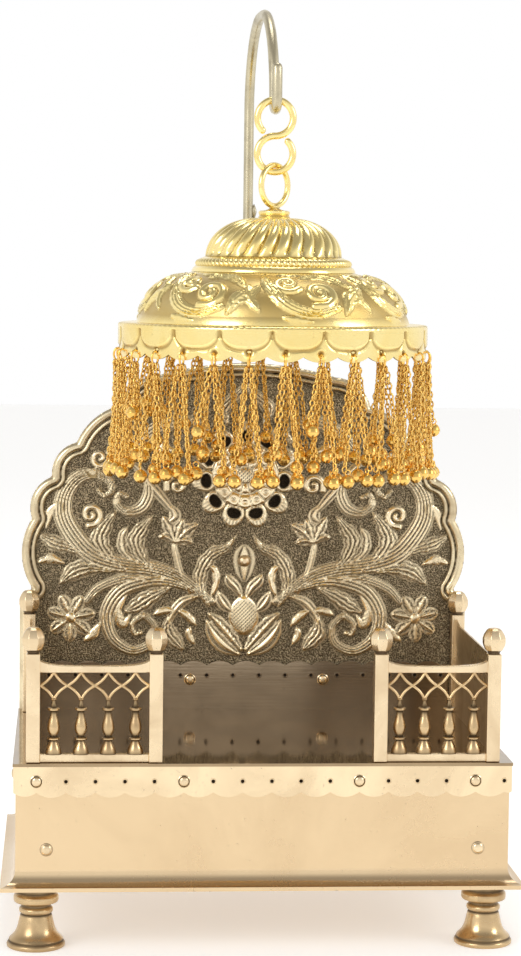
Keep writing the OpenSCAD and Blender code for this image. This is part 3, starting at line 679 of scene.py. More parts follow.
def foliage(x, z):
    """The height of the right half of the relief above the ground, in millimetres, and its dark chased lines and pits:
    tarnish and painted shade.
    """
    field, vein = np.zeros(x.shape), np.zeros(x.shape)
    # bands and stems
    emboss(field, x, z, [(14, 123.5, 1.4), (21.7, 129.4, 2.2), (31.4, 135.6, 2.8), (43, 138.8, 3.2), (56.3, 140.4, 3.6), (68, 144.6, 4.0), (76, 153, 4.0), (80.6, 162.3, 3.8), (79.8, 171.5, 3.4), (74.4, 178.6, 2.9), (67, 180.6, 2.3), (60.6, 177.6, 1.8), (59.4, 173.2, 1.4), (62.6, 171, 1.2), (65, 173.2, 1.0)], 1.9, ribs=3, vein=vein)
    emboss(field, x, z, [(22, 129, 1.2), (34, 132.6, 2.2), (44, 132.4, 2.8), (55, 128.2, 3.0), (61, 118.4, 2.8), (58.6, 107.4, 2.4), (50, 101.6, 2.0), (41.8, 104.6, 1.8), (39.8, 112, 1.6), (44.4, 117, 1.4), (49.4, 114, 1.2), (48.8, 109.4, 1.0), (45.8, 109.6, 0.8)], 1.8, ribs=2, vein=vein)
    emboss(field, x, z, [(36, 133.5, 1.0), (52, 134, 2.0), (64, 130, 2.0), (70, 124, 1.5)], 1.5, ribs=2, vein=vein)
    emboss(field, x, z, [(23.9, 128, 1.0), (28.2, 136, 1.3), (30.6, 145, 1.3), (31.2, 149, 1.0)], 1.4, ribs=1, vein=vein)
    # crescent leaves about the seed head
    emboss(field, x, z, [(15.4, 121.5, 0.6), (19.4, 129, 2.2), (19.2, 137, 3.0), (14.6, 144.5, 2.8), (8.4, 147.6, 1.8), (4.0, 153, 0.3)], 1.8, ribs=2, lobes=7, vein=vein)
    emboss(field, x, z, [(14.5, 126, 0.5), (12.4, 132, 1.4), (12.8, 137, 1.5), (15, 139.6, 0.6)], 1.1, lobes=3, vein=vein)
    # seed head, petals, bud and the two pairs of lance leaves
    emboss(field, x, z, [(0, 125.5, 0.3), (0, 121.5, 4.2), (0, 117, 6.0), (0, 113.5, 4.4), (0, 109.6, 0.4)], 1.7, vein=vein)
    emboss(field, x, z, [(1.2, 125.5, 0.5), (3.2, 129.6, 1.9), (6.0, 132.4, 2.2), (8.0, 135.4, 0.4)], 1.6, ribs=1, rib_depth=0.6, vein=vein)
    emboss(field, x, z, [(5.6, 119.5, 0.4), (8.2, 121.6, 2.2), (10.2, 124.4, 2.2), (11.6, 128, 0.4)], 1.5, ribs=1, rib_depth=0.6, vein=vein)
    emboss(field, x, z, [(0, 134, 1.5), (0, 138.5, 3.6), (0, 143.5, 4.2), (0, 147.8, 1.4)], 1.3, ribs=1, rib_depth=0.7, vein=vein)
    emboss(field, x, z, [(0.6, 101.6, 0.6), (5.6, 107.6, 2.6), (11.2, 114, 2.6), (16, 118.6, 0.3)], 1.8, ribs=1, lobes=16, rib_depth=0.5, vein=vein)
    emboss(field, x, z, [(2.0, 100, 0.6), (8.6, 104, 3.2), (13.4, 109.2, 2.8), (16.6, 115.4, 0.3)], 1.7, ribs=1, vein=vein)
    # acanthus leaves that stand on the stems
    emboss(field, x, z, [(39, 136.5, 0.8), (45.8, 143.6, 2.6), (48.4, 151, 3.4), (45.4, 156.4, 2.6), (41, 162, 0.3)], 1.9, ribs=2, lobes=5, vein=vein)
    emboss(field, x, z, [(52.6, 137.6, 0.8), (60, 143.4, 2.6), (64.4, 151, 3.6), (62, 157.6, 2.8), (57, 164, 0.3)], 1.9, ribs=2, lobes=5, vein=vein)
    emboss(field, x, z, [(44, 139, 0.6), (53, 145, 1.6), (54.6, 152, 2.0), (52, 157, 0.4)], 1.3, ribs=1, lobes=3, vein=vein)
    emboss(field, x, z, [(67, 143.4, 0.6), (77, 147.4, 2.2), (84.4, 149.6, 3.0), (91.6, 153.6, 0.6)], 1.6, ribs=2, lobes=5, vein=vein)
    emboss(field, x, z, [(58, 137.4, 0.6), (68.4, 138.6, 2.8), (75.4, 137, 3.6), (82, 131.6, 0.4)], 1.7, ribs=2, lobes=5, vein=vein)
    emboss(field, x, z, [(80, 140.6, 0.4), (86, 142.6, 2.0), (92, 141, 0.4)], 1.3, lobes=3, vein=vein)
    emboss(field, x, z, [(33, 130, 0.6), (41, 126, 3.0), (47.4, 121.8, 3.2), (53, 119, 0.4)], 1.7, ribs=2, lobes=5, vein=vein)
    emboss(field, x, z, [(52, 127, 0.4), (56, 120, 1.6), (54, 113, 1.8), (50.4, 118, 0.3)], 1.2, lobes=3, vein=vein)
    emboss(field, x, z, [(19.5, 126.4, 0.5), (27, 123.6, 2.0), (32, 118, 1.8), (33, 113.6, 0.8)], 1.4, ribs=1, vein=vein)
    emboss(field, x, z, [(33.4, 116.4, 0.8), (33.6, 110, 3.2), (30, 105.4, 2.8), (26.6, 102, 0.3)], 1.7, ribs=2, lobes=4, vein=vein)
    emboss(field, x, z, [(31, 119.6, 0.6), (36, 119.4, 1.8), (40.6, 117.6, 0.3)], 1.3, lobes=2, vein=vein)
    emboss(field, x, z, [(29, 119.6, 0.6), (24.6, 116.6, 1.8), (21, 112.6, 0.3)], 1.3, lobes=2, vein=vein)
    emboss(field, x, z, [(21.6, 104, 0.3), (24.4, 108.6, 1.6), (23.8, 112, 0.4)], 1.1, lobes=2, vein=vein)
    # half-open flower
    for tip in ((20.6, 158.4, 2.6), (27.4, 160.6, 2.2), (36.6, 161.6, 2.4), (23, 150, 2.2), (38.4, 152.6, 1.6)):
        mx, mz = (31 + tip[0]) / 2, (150.6 + tip[1]) / 2 + 1
        emboss(field, x, z, [(31, 150.2, 0.8), (mx, mz, tip[2]), (tip[0], tip[1], 0.3)], 1.6, ribs=1, lobes=3, vein=vein)
    # big flower by the edge
    for k in range(7):
        a = 2 * math.pi * (k + 0.3) / 7
        ux, uz = math.cos(a), math.sin(a)
        emboss(field, x, z, [(77 + 2.4 * ux, 116.4 + 2.4 * uz, 0.8), (77 + 6.2 * ux, 116.4 + 6.2 * uz, 3.0), (77 + 10.6 * ux, 116.4 + 10.6 * uz, 0.5)], 1.6, ribs=1, lobes=2, rib_depth=0.55, vein=vein)
    emboss(field, x, z, [(76.8, 116.2, 2.2), (77.2, 116.6, 2.2)], 1.9, vein=vein)
    emboss(field, x, z, [(71, 106, 0.4), (67, 109, 2.0), (64, 114, 0.5)], 1.3, lobes=3, vein=vein)
    # scrolls in the upper field
    emboss(field, x, z, scroll(68.4, 162.4, 5.0, -1.4, 1.35, 1.3, -1), 1.5, vein=vein)
    emboss(field, x, z, [(32.5, 164.6, 1.2), (37.4, 170.4, 1.9), (43, 177, 1.9), (48, 183.4, 1.4), (56, 189, 1.0)], 1.5, ribs=1, vein=vein)
    emboss(field, x, z, scroll(30.4, 175.6, 4.8, -0.4, 1.3, 1.3), 1.5, vein=vein)
    emboss(field, x, z, [(44.4, 180, 0.6), (42.6, 172.4, 2.4), (45.6, 165.8, 2.6), (52, 163.6, 2.0), (56.8, 167, 1.5), (56, 171.4, 1.2), (52.6, 170.6, 1.0)], 1.6, ribs=2, vein=vein)
    emboss(field, x, z, [(33, 166, 1.0), (31, 162, 2.4), (34, 159, 0.4)], 1.4, ribs=1, vein=vein)
    emboss(field, x, z, scroll(64.6, 187.6, 4.6, 2.6, 1.3, 1.2), 1.4, vein=vein)
    emboss(field, x, z, [(50, 190, 0.6), (44, 198, 2.4), (34, 203, 2.8), (24, 204, 2.0), (18, 200, 1.3), (20, 195.6, 1.1)], 1.6, ribs=2, vein=vein)
    emboss(field, x, z, [(8, 203, 0.4), (10, 210, 2.6), (4, 216, 2.2), (0, 221, 0.5)], 1.6, ribs=2, lobes=4, vein=vein)
    emboss(field, x, z, [(30, 190, 0.4), (36, 192, 2.0), (40, 188, 1.0)], 1.2, lobes=3, vein=vein)
    emboss(field, x, z, [(83, 168, 0.4), (86.6, 163, 1.6), (88, 156.4, 0.4)], 1.0, vein=vein)
    # rosette, the pits between its petals painted black as painted shade
    dx, dz = x, z - 180.1
    r, a = np.hypot(dx, dz), np.arctan2(dz, dx) + math.pi / 2
    across = r * np.arccos(np.clip(np.abs(np.sin(5.5 * a)), 0, 1)) / 5.5
    petal = ((r - 18.4) / 5.7) ** 2 + (across / 4.9) ** 2
    field = np.where(petal < 1, 1.5 * np.sqrt(np.clip(1 - petal ** 3, 0, 1)), field * (r > 24))
    pit = np.clip(1.9 - 1.5 * (((r - 17.6) / 2.4) ** 2 + (across / 3.3) ** 2), 0, 1)
    field = np.where(r < 25, field - 1.5 * pit + 0.12 * np.cos(88 * a) * (r > 20) * (petal < 0.9), field)
    vein = np.where(r < 25, 2.0 * pit + 0.5 * (0.5 - 0.5 * np.cos(88 * a)) * (r > 20.3) * (petal < 1), vein)
    ring = np.abs(np.cos(7 * a))
    bead = np.clip(1 - ((r - 11.6) / 3.0) ** 2, 0, 1) * np.sqrt(ring)
    field = np.where((r < 14.8) & (r > 8.4), 0.8 + 1.3 * np.sqrt(bead) - 0.8 * np.exp(-(((r - 11.8) / 1.1) ** 2)) * np.clip(ring * 2.4 - 1.4, 0, 1), field)
    wedge = np.sqrt(np.abs(np.cos(6 * a)))
    field = np.where((r <= 8.4) & (r > 3.4), 0.9 + 1.0 * wedge * np.sin(math.pi * (r - 3.2) / 5.4), field)
    field = np.where(r <= 3.4, 1.3 + 0.9 * np.sqrt(np.clip(1 - (r / 3.7) ** 2, 0, 1)), field)
    # dots punched in the seed head and in the middle of the rosette
    dots = np.clip(np.cos(2 * math.pi * x / 1.7) * np.cos(2 * math.pi * z / 1.7) * 1.6 - 0.3, 0, 1)
    dotted = (((x / 5.4) ** 2 + ((z - 117.4) / 7) ** 2) < 1) | (r < 3.2)
    vein = np.where(dotted, dots, vein)
    return np.clip(np.where(dotted, field - 0.4 * dots, field), 0, 2.2), np.clip(vein, 0, 2)


def frame_bead(d):
    """The frame's section by its distance from the outline: a rolled edge, a groove and a thin bead."""
    outer = 2.1 * np.sqrt(np.clip(1 - ((d - 1.9) / 1.95) ** 2, 0, 1))
    inner = 1.7 * np.sqrt(np.clip(1 - ((d - 4.9) / 1.15) ** 2, 0, 1))
    return np.maximum(np.maximum(outer, inner), 0.35)


def relief_half(step):
    """Grid, heights and darkening of the right half, with its outermost points drawn onto the outline: tarnish on the
    ground, painted shade in grooves, creases and on steep sides.
    """
    across = np.arange(0, 104.01, step)
    tall = np.arange(75.5, 230.5, step)
    x, z = np.meshgrid(across, tall)
    d, near_x, near_z = edge_distance(x, z)
    leaf, vein = foliage(x, z)
    leaf = leaf * np.clip((d - 6.2) / 0.6, 0, 1)
    high = np.where(d < 6.15, frame_bead(np.clip(d, 0, 9)), leaf)
    grime_and_shade = np.clip(1 - high / 0.75, 0, 1)
    # the grooves of the frame's beading are painted dark: painted shade and tarnish
    grime_and_shade = np.where(d < 6.4, np.maximum(np.exp(-((d - 3.85) / 0.42) ** 2), np.exp(-((d - 6.2) / 0.4) ** 2)), grime_and_shade)
    slope_x, slope_z = np.gradient(high, step)
    # steep sides and creases of the relief are painted dark as painted shade; the chased lines are darkened as tarnish
    # and painted shade
    steep = np.clip(np.hypot(slope_x, slope_z) - 0.9, 0, 1.6) / 1.6
    reach = max(1, round(1.0 / step))
    around = sum(np.roll(high, s, k) for s in (-reach, reach) for k in (0, 1)) / 4
    crease = np.clip((around - high - 0.06) * 3.2, 0, 1)
    grime_and_shade = np.clip(np.maximum(grime_and_shade, (0.4 * steep + 0.8 * crease + 0.85 * vein) * (d > 6.2)), 0, 1)
    # the rosette's deep pits keep their value past 1 and are painted black, as painted shade
    grime_and_shade = np.where(vein > 1, vein, grime_and_shade)
    keep = d > -1.2 * step
    x, z = np.where(d < 0, near_x, x), np.where(d < 0, near_z, z)
    high = np.where(d < 0, 0.9, high)
    return x, z, d, high, grime_and_shade, keep


def relief_piece(name, data, low_d, high_d, finish, node, behind=None, skip=None, sides=("right", "left")):
    x, z, d, high, grime_and_shade, keep = data
    rows, columns = x.shape
    quads = []
    inner = keep[:-1, :-1] & keep[1:, :-1] & keep[:-1, 1:] & keep[1:, 1:]
    near = (d[:-1, :-1] + d[1:, 1:]) / 2
    inner &= (near >= low_d) & (near < high_d) & ((d[:-1, :-1] > 0) | (d[1:, 1:] > 0) | (d[1:, :-1] > 0) | (d[:-1, 1:] > 0))
    if skip is not None:
        inner &= ~skip(x[:-1, :-1], z[:-1, :-1])
    r, c = np.nonzero(inner)
    index = np.arange(rows * columns).reshape(rows, columns)
    quads = np.stack([index[r, c], index[r, c + 1], index[r + 1, c + 1], index[r + 1, c]], 1)
    used, packed = np.unique(quads, return_inverse=True)
    packed = packed.reshape(quads.shape)
    px, pz, ph, pg = x.ravel()[used], z.ravel()[used], high.ravel()[used], grime_and_shade.ravel()[used]
    y = np.full(len(px), behind) - ph * MM * 0.3 if behind is not None else sheet_low.y + 0.0003 - ph * MM
    right_half = np.stack([px * MM, y, pz * MM], 1)
    left_half = right_half * (-1, 1, 1)
    shape = Shape()
    flip = behind is not None
    if "right" in sides:
        shape.add(right_half, packed[:, ::-1] if flip else packed, pg)
    if "left" in sides:
        shape.add(left_half, packed if flip else packed[:, ::-1], pg)
    piece = make_piece(name, shape, finish, "throne", [node] if node else [], crisp=75)
    return piece


embossed_brass = brass("embossed_brass", (0.94, 0.80, 0.54), (0.74, 0.60, 0.38), (0.045, 0.034, 0.022), smooth=0.16, rough=0.32, scratch_depth=0.00022, cloud_size=60.0, stipple=3.0)
bead_brass = brass("bead_brass", (0.80, 0.68, 0.45), (0.50, 0.39, 0.24), (0.05, 0.035, 0.024), smooth=0.2, rough=0.4, cloud_size=70.0)
under_strip = lambda x, z: (z < foot_strip_high.z / MM - 4) & (x < foot_strip_high.x / MM - 1)
fine = relief_half(0.43)
for side in ("left", "right"):
    relief_piece("back_relief_" + side, fine, 6.1, 999, embossed_brass, "back_panel", skip=under_strip, sides=(side,))
relief_piece("back_frame_beads", fine, -9, 6.1, bead_brass, "back_border")
coarse = relief_half(1.0)
relief_piece("back_reverse", (coarse[0], coarse[1], coarse[2], np.where(coarse[2] < 6.2, 0, coarse[3]), coarse[4] * 0.5, coarse[5]), -9, 999, panel_brass, None, behind=sheet_high.y - 0.00002)

rim = Shape()
outline = [(x, z) for x, z in edge_mm] + [(-x, z) for x, z in edge_mm[::-1]]
rim_points = []
for x, z in outline:
    rim_points += [(x * MM, sheet_low.y - 0.0006, z * MM), (x * MM, sheet_high.y - 0.00001, z * MM)]
rim.add(rim_points, [(2 * k, 2 * k + 1, 2 * k + 3, 2 * k + 2) for k in range(len(outline) - 1)], [0.25] * len(rim_points))
make_piece("back_edge", rim, bead_brass, "throne", crisp=40)

strip_brass = brass("strip_brass", (0.34, 0.265, 0.18), (0.22, 0.17, 0.115), (0.03, 0.022, 0.016), smooth=0.14, rough=0.28, cloud_size=22.0, brushed=(0.05, 1, 1), scratch_depth=0.00004)
strip_length = foot_strip_high.x - foot_strip_low.x
stand_strip("back_strip_punched", "back_strip", -strip_length / 2 + 0.006, "-Y", strip_brass, flip=True)


# ---- Rod, clips and the bolt head ----
# A drawn brass rod, dull and a little uneven from hand bending, with a thorn-like lug. Two clips
# hold it to the back of the sheet, and the lower one's bolt ends in a round head on the bud.

rod_brass = brass("rod_brass", (0.62, 0.55, 0.38), (0.42, 0.37, 0.26), (0.09, 0.07, 0.05), smooth=0.26, rough=0.46, brushed=(1, 1, 0.04), cloud_size=90.0, scratch_depth=0.00006)
rod_low, rod_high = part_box("canopy_stem")
eye_low, eye_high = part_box("canopy_eye")
rim_low, rim_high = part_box("canopy_rim")
centre_x, centre_y = (rim_low.x + rim_high.x) / 2, (rim_low.y + rim_high.y) / 2
rod_r, bend_r, bend_run, hook_r, tip_h = 0.00215, 0.0377, 0.008, 0.0041, 0.0124
bend_turn = math.radians(3)
rod_y = rod_high.y - rod_r
bend_z = rod_high.z - bend_r - rod_r
foot_z = rod_low.z

run = [(0, foot_z), (0, foot_z + 0.0004)] + [(0, foot_z + (bend_z - foot_z) * k / 20) for k in range(1, 20)]
run += [(bend_r - bend_r * math.cos(math.radians(a)), bend_z + bend_r * math.sin(math.radians(a))) for a in range(0, 91, 6)]
run += [(bend_r + bend_run + bend_r * math.sin(math.radians(a)), bend_z + bend_r * math.cos(math.radians(a))) for a in range(0, 91, 6)]
reach = 2 * bend_r + bend_run + hook_r
run += [(reach - hook_r * math.cos(math.radians(a)), bend_z - hook_r * math.sin(math.radians(a))) for a in range(15, 181, 15)]
tip = bend_z + tip_h
run += [(reach + hook_r, tip - 0.004), (reach + hook_r, tip), (reach + hook_r, tip + 0.0012), (reach + hook_r, tip + 0.0018), (reach + hook_r, tip + 0.00205)]
radii = [rod_r * 0.85] + [rod_r] * (len(run) - 5) + [rod_r * 0.99, rod_r * 0.82, rod_r * 0.5, rod_r * 0.1]
rod = Shape()
rod.wire([(t * math.sin(bend_turn), rod_y - t * math.cos(bend_turn), z) for t, z in run], radii, 24)
lug = [(0.0001, 0), (0.0006, 0.0009), (0.0009, 0.0018), (0.0012, 0.003), (0.001, 0.0044), (0.0006, 0.0056), (0.0001, 0.0067)]
rod.turned(lug, (rod_r + 0.0005, rod_y, 0.2936), 20, "Z", [0.5, 0.3, 0, 0, 0, 0, 0.2])
make_piece("hooked_rod", rod, rod_brass, "throne", ["canopy_stem"], crisp=50)
dress("stem_clips", railing_brass)


# ---- S-hook and the canopy's eye ----
# Bright yellow brass wire bent round to an open S of two loops. The canopy hangs from its lower
# loop by a ring, bent from lighter wire and brazed to a turned collar.

canopy_brass = brass("canopy_brass", (1.0, 0.83, 0.38), (0.95, 0.73, 0.27), (0.26, 0.14, 0.03), smooth=0.13, rough=0.27, scratch_depth=0.00003, cloud_size=55.0)
hook_low, hook_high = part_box("s_hook")
wire_r = 0.00145
loop_r = (hook_high.z - hook_low.z - 2 * wire_r) / 4
hook = Shape()
for lower in (0, 1):
    loop_z = hook_high.z - wire_r - loop_r * (1 + 2 * lower)
    path, radii = [], []
    for k in range(62):
        a = math.radians(-90 + 180 * lower + 322 * k / 60)
        if k == 61:
            a = math.radians(-90 + 180 * lower + 325)
        path.append((centre_x + loop_r * math.cos(a), centre_y, loop_z + loop_r * math.sin(a)))
        radii.append(wire_r * (0.35 if k == 61 else 0.8 if k == 60 else 1))
    path.reverse()
    radii.reverse()
    hook.wire(path, radii, 20)
make_piece("s_hook_wire", hook, canopy_brass, "s_hook", ["s_hook"], crisp=50)

crown_low, crown_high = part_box("canopy_crown")
eye_wire, eye_r = 0.0012, 0.0083
eye_z = eye_high.z - eye_wire - eye_r
eye = Shape()
spread = math.sqrt(0.5)
eye.wire([(centre_x + eye_r * math.sin(a) * spread, centre_y + eye_r * math.sin(a) * spread, eye_z + eye_r * math.cos(a)) for a in [2 * math.pi * k / 64 for k in range(64)]], eye_wire, 18, closed=True)
neck_h = eye_z - eye_r - crown_high.z
collar = [(0.0001, -0.0002), (0.0064, -0.0002), (0.0065, 0.0004), (0.0061, 0.0008), (0.0062, 0.0014), (0.0065, 0.0019), (0.0064, 0.0025), (0.0058, 0.0029), (0.0036, 0.0031), (0.0024, 0.0036), (0.0019, 0.0042), (0.002, neck_h), (0.0014, neck_h + 0.0008), (0.0001, neck_h + 0.001)]
eye.turned(collar, (centre_x, centre_y, crown_high.z), 40, "Z", [0.9, 0.6, 0.1, 0.5, 0.1, 0, 0, 0.2, 0.6, 0.4, 0.2, 0.1, 0.5, 0.5])
make_piece("canopy_eye_ring", eye, canopy_brass, "canopy", ["canopy_eye"], crisp=45)


# ---- Canopy: fluted crown, roped band, embossed dome and rim ----
# Spun from thin sheet and embossed in a die: twisted flutes on the crown, a rope between the two
# domes, scrolling leaves on the large one, and rounded petals down the rim. The parts are soldered.

def spun(name, profile, sides, relief, node, finish=None):
    """A spun shell: profile is (radius, height, share of the relief) points, outside down and inside up."""
    angle = np.linspace(0, 2 * math.pi, sides, endpoint=False)
    rows = np.array(profile)
    down = rows[:, 3] if rows.shape[1] > 3 else np.linspace(0, 1, len(rows))
    a, row = np.meshgrid(angle, np.arange(len(rows)))
    out, drop, grime_and_shade = relief(a, down[row])
    share = rows[row, 2]
    r = rows[row, 0] + out * share
    z = rows[row, 1] + drop * share
    x, y = centre_x + r * np.cos(a), centre_y + r * np.sin(a)
    count = len(rows)
    index = np.arange(count * sides).reshape(count, sides)
    nxt = np.roll(index, -1, 1)
    quads = np.stack([index[:-1].ravel(), index[1:].ravel(), nxt[1:].ravel(), nxt[:-1].ravel()], 1)
    shape = Shape()
    shape.add(np.stack([x.ravel(), y.ravel(), z.ravel()], 1), quads, (grime_and_shade * share).ravel())
    return make_piece(name, shape, finish or canopy_brass, "canopy", [node] if node else [], crisp=60)


shell_t = 0.0009
crown_r = (crown_high.x - crown_low.x) / 2
crown_h = crown_high.z - crown_low.z


def flutes(a, t):
    wave = np.abs(np.cos(14 * (a + 0.24 * t * t)))
    grown = np.clip(t * 2.2, 0, 1) * np.clip((1 - t) * 14, 0, 1)
    # painted shade and tarnish in the grooves of the flutes and at the crown's foot, where it meets the rope band
    grime_and_shade = 0.5 * np.exp(-(wave / 0.22) ** 2) * grown + 0.5 * np.clip((t - 0.95) * 20, 0, 1)
    return -0.0024 * (1 - np.sqrt(wave)) * grown, 0.0009 * (wave - 0.7) * grown * (1 - t), grime_and_shade


crown_profile = []
for k in range(29):
    t = k / 28
    crown_profile.append((0.0062 + (crown_r - 0.0062) * math.sin(t * math.pi / 2), crown_high.z - crown_h * (1 - math.cos(t * math.pi / 2)), 1, t))
crown_profile.append((crown_r - shell_t, crown_low.z, 0, 1))
for k in range(12, -1, -1):
    t = k / 12
    crown_profile.append((0.0003 + (crown_r - shell_t - 0.0034) * math.sin(t * math.pi / 2), crown_high.z - 0.0016 - (crown_h - 0.0016) * (1 - math.cos(t * math.pi / 2)), 0, t))
spun("canopy_crown_fluted", crown_profile, 28 * 14, flutes, "canopy_crown")

rope_low, rope_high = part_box("canopy_rope_band")
rope_r = (rope_high.x - rope_low.x) / 2


def roping(a, t):
    strand = np.sin(84 * a - 12 * t)
    middle = np.exp(-(((t - 0.36) / 0.17) ** 2))
    # painted shade and tarnish between the rope's strands and in the groove below the rope
    return 0.00035 * strand * middle, 0 * a, 0.55 * np.clip(-strand - 0.25, 0, 1) * middle + 0.45 * np.exp(-((t - 0.6) / 0.04) ** 2)


band = [(0.0270, 0, 0.0, 0), (0.0284, 0.0001, 0.2, 0.02), (0.0292, 0.0006, 1, 0.1), (0.0300, 0.0009, 1, 0.2), (0.0308, 0.0013, 1, 0.28), (0.0314, 0.0018, 1, 0.36),
        (0.0318, 0.0025, 1, 0.44), (0.0319, 0.0032, 1, 0.5), (0.0317, 0.0037, 1, 0.56), (0.0322, 0.0041, 1, 0.64), (0.0329, 0.0046, 1, 0.72), (0.0334, 0.0054, 1, 0.85), (0.0336, 0.0063, 0, 1)]
spun("canopy_rope", [(r, rope_high.z - h, s, t) for r, h, s, t in band] + [(0.0316, rope_low.z, 0, 1), (0.0262, rope_high.z, 0, 1)], 84 * 8, roping, "canopy_rope_band")

dome_low, dome_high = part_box("canopy_dome")
dome_r = (dome_high.x - dome_low.x) / 2
dome_inner = 0.0336
dome_h = dome_high.z - dome_low.z
arc_mm = 33.0
unit_mm = 2 * math.pi * 47 / 7


def dome_pattern():
    """One repeat of the dome's scrolls, unrolled: heights on a grid, in millimetres."""
    x, z = np.meshgrid(np.arange(0, unit_mm, 0.35), np.arange(0, arc_mm + 0.3, 0.35))
    field = np.zeros(x.shape)
    w = unit_mm
    for shift in (-w, 0, w):
        emboss(field, x, z, [(shift + 2, 4, 1.2), (shift + 5, 14, 2.2), (shift + 12, 24, 2.4), (shift + 21, 27.4, 2.0), (shift + 30, 25, 1.4)], 1.2, ribs=2)
        emboss(field, x, z, scroll(shift + 24, 18, 6.4, 1.9, 1.5, 1.5, -1), 1.1)
        emboss(field, x, z, scroll(shift + 12, 12.4, 5.4, 0.6, 1.4, 1.4), 1.1)
        emboss(field, x, z, [(shift + 18, 8, 0.6), (shift + 26, 6, 2.4), (shift + 33, 9, 2.6), (shift + 38, 15, 0.5)], 1.2, ribs=2, lobes=5)
        emboss(field, x, z, [(shift + 33, 28, 0.5), (shift + 36, 21, 2.6), (shift + 41, 17.4, 2.0), (shift + 44, 14, 0.4)], 1.1, ribs=1, lobes=4)
        emboss(field, x, z, [(shift + 10, 29, 0.4), (shift + 14, 30.4, 1.6), (shift + 20, 31, 0.4)], 0.9, lobes=3)
        emboss(field, x, z, [(shift + 2, 27, 0.4), (shift - 2, 20, 2.0), (shift - 3, 13, 0.4)], 1.0, ribs=1, lobes=3)
        emboss(field, x, z, [(shift + 8, 3, 0.3), (shift + 14, 4, 1.4), (shift + 20, 3, 0.3)], 0.8, lobes=3)
    return field


dome_field = dome_pattern()


def leaves(a, t):
    across = (a / (2 * math.pi) * 7) % 1 * unit_mm
    row = np.clip((t * arc_mm / 0.35).astype(int), 0, dome_field.shape[0] - 1)
    column = np.clip((across / 0.35).astype(int), 0, dome_field.shape[1] - 1)
    tall = dome_field[row, column]
    fade = np.clip(t * 12, 0, 1) * np.clip((1 - t) * 9, 0, 1)
    out = (tall - 1.0) * MM * 0.95 * fade
    lean = t * math.pi / 2
    return out * np.sin(lean), out * np.cos(lean), 0.55 * np.clip(1 - tall / 0.45, 0, 1) * fade


dome_profile = []
for k in range(97):
    t = k / 96
    dome_profile.append((dome_inner + (dome_r - dome_inner) * math.sin(t * math.pi / 2), dome_high.z - dome_h * (1 - math.cos(t * math.pi / 2)), 1, t))
dome_profile.append((dome_r - shell_t, dome_low.z, 0, 1))
for k in range(16, -1, -1):
    t = k / 16
    dome_profile.append((dome_inner - 0.0018 + (dome_r - shell_t - 0.0015 - dome_inner + 0.0018) * math.sin(t * math.pi / 2), dome_high.z - 0.0026 - (dome_h - 0.0026) * (1 - math.cos(t * math.pi / 2)), 0, t))
spun("canopy_dome_embossed", dome_profile, 700, leaves, "canopy_dome")

rim_r = (rim_high.x - rim_low.x) / 2
rim_h = rim_high.z - rim_low.z
holes = 28


def rim_relief(a, t):
    """t runs from 0 to 0.3 over the flange, then down the upright rim to 1."""
    strand = np.sin(150 * a - 60 * t)
    rope = np.exp(-(((t - 0.23) / 0.035) ** 2))
    down = np.clip((t - 0.3) / 0.7, 0, 1)
    petal = np.abs(((a / (2 * math.pi) * 19) % 1) - 0.5) * 2
    edge = 0.66 * np.sqrt(np.clip(1 - petal ** 3, 0, 1)) - 0.0
    line = np.exp(-(((down - edge) / 0.07) ** 2)) + np.exp(-(((petal - 0.96) / 0.07) ** 2)) * (down < 0.3)
    line = np.clip(line, 0, 1) * (down > 0.04)
    inside = 1 / (1 + np.exp((down - edge) * 30))
    turn = ((a / (2 * math.pi) * holes + 0.5) % 1 - 0.5) * 2 * math.pi * rim_r / holes
    low = down * 0.0136
    hole = np.hypot(turn, low - 0.0099)
    pierced = np.exp(-((hole / 0.00125) ** 4))
    collar = np.exp(-(((hole - 0.0019) / 0.0004) ** 2))
    hatch = 0.5 + 0.5 * np.sin(19 * 14 * a)
    out = 0.00022 * strand * rope - 0.0006 * line - 0.0005 * (1 - inside) * (down > 0.04) + 0.00025 * collar - 0.0004 * pierced - 0.00006 * hatch * inside * (down > 0.1)
    out = np.where(t < 0.19, 0, out - 0.0001)
    scallop = 0.0021 * (np.abs(turn) / (math.pi * rim_r / holes)) ** 2.2 * np.clip((down - 0.62) / 0.38, 0, 1)
    # the holes are only pressed in and painted black: painted shade for the openings; the petal lines and the rope's
    # troughs are darkened as tarnish and painted shade
    grime_and_shade = np.clip(0.7 * line + 1.0 * pierced + 0.5 * np.clip(-strand, 0, 1) * rope, 0, 1)
    return out, scallop, grime_and_shade


flange = [(0.0546, 0, 0, 0), (0.0556, 0.0, 0, 0.02), (0.0580, -0.0001, 0.5, 0.08), (0.0600, 0.0001, 1, 0.14), (0.0612, 0, 1, 0.18), (0.0620, 0.0001, 1, 0.21), (0.0628, 0.0003, 1, 0.24), (0.0633, 0.0007, 1, 0.27), (0.0635, 0.0013, 1, 0.3)]
rim_profile = [(r, rim_high.z - h, s, t) for r, h, s, t in flange]
for k in range(1, 37):
    rim_profile.append((rim_r - 0.0001, rim_high.z - 0.0013 - (rim_h - 0.0013) * k / 36, 1, 0.3 + 0.7 * k / 36))
rim_profile.append((rim_r - shell_t, rim_low.z, 1, 1.0))
rim_profile += [(rim_r - shell_t - 0.0004, rim_low.z + 0.003, 0, 0.8), (rim_r - shell_t - 0.0004, rim_high.z - 0.0014, 0, 0.3), (0.0546, rim_high.z - 0.0012, 0, 0.1)]
spun("canopy_rim_petals", rim_profile, 28 * 30, rim_relief, "canopy_rim")


# ---- Fringe of chains and small bells ----
# A wire ring in every hole carries two curb chains, which meet their neighbours' chains in points.
# Two or three closed bells hang at each point, and a few more part of the way up.

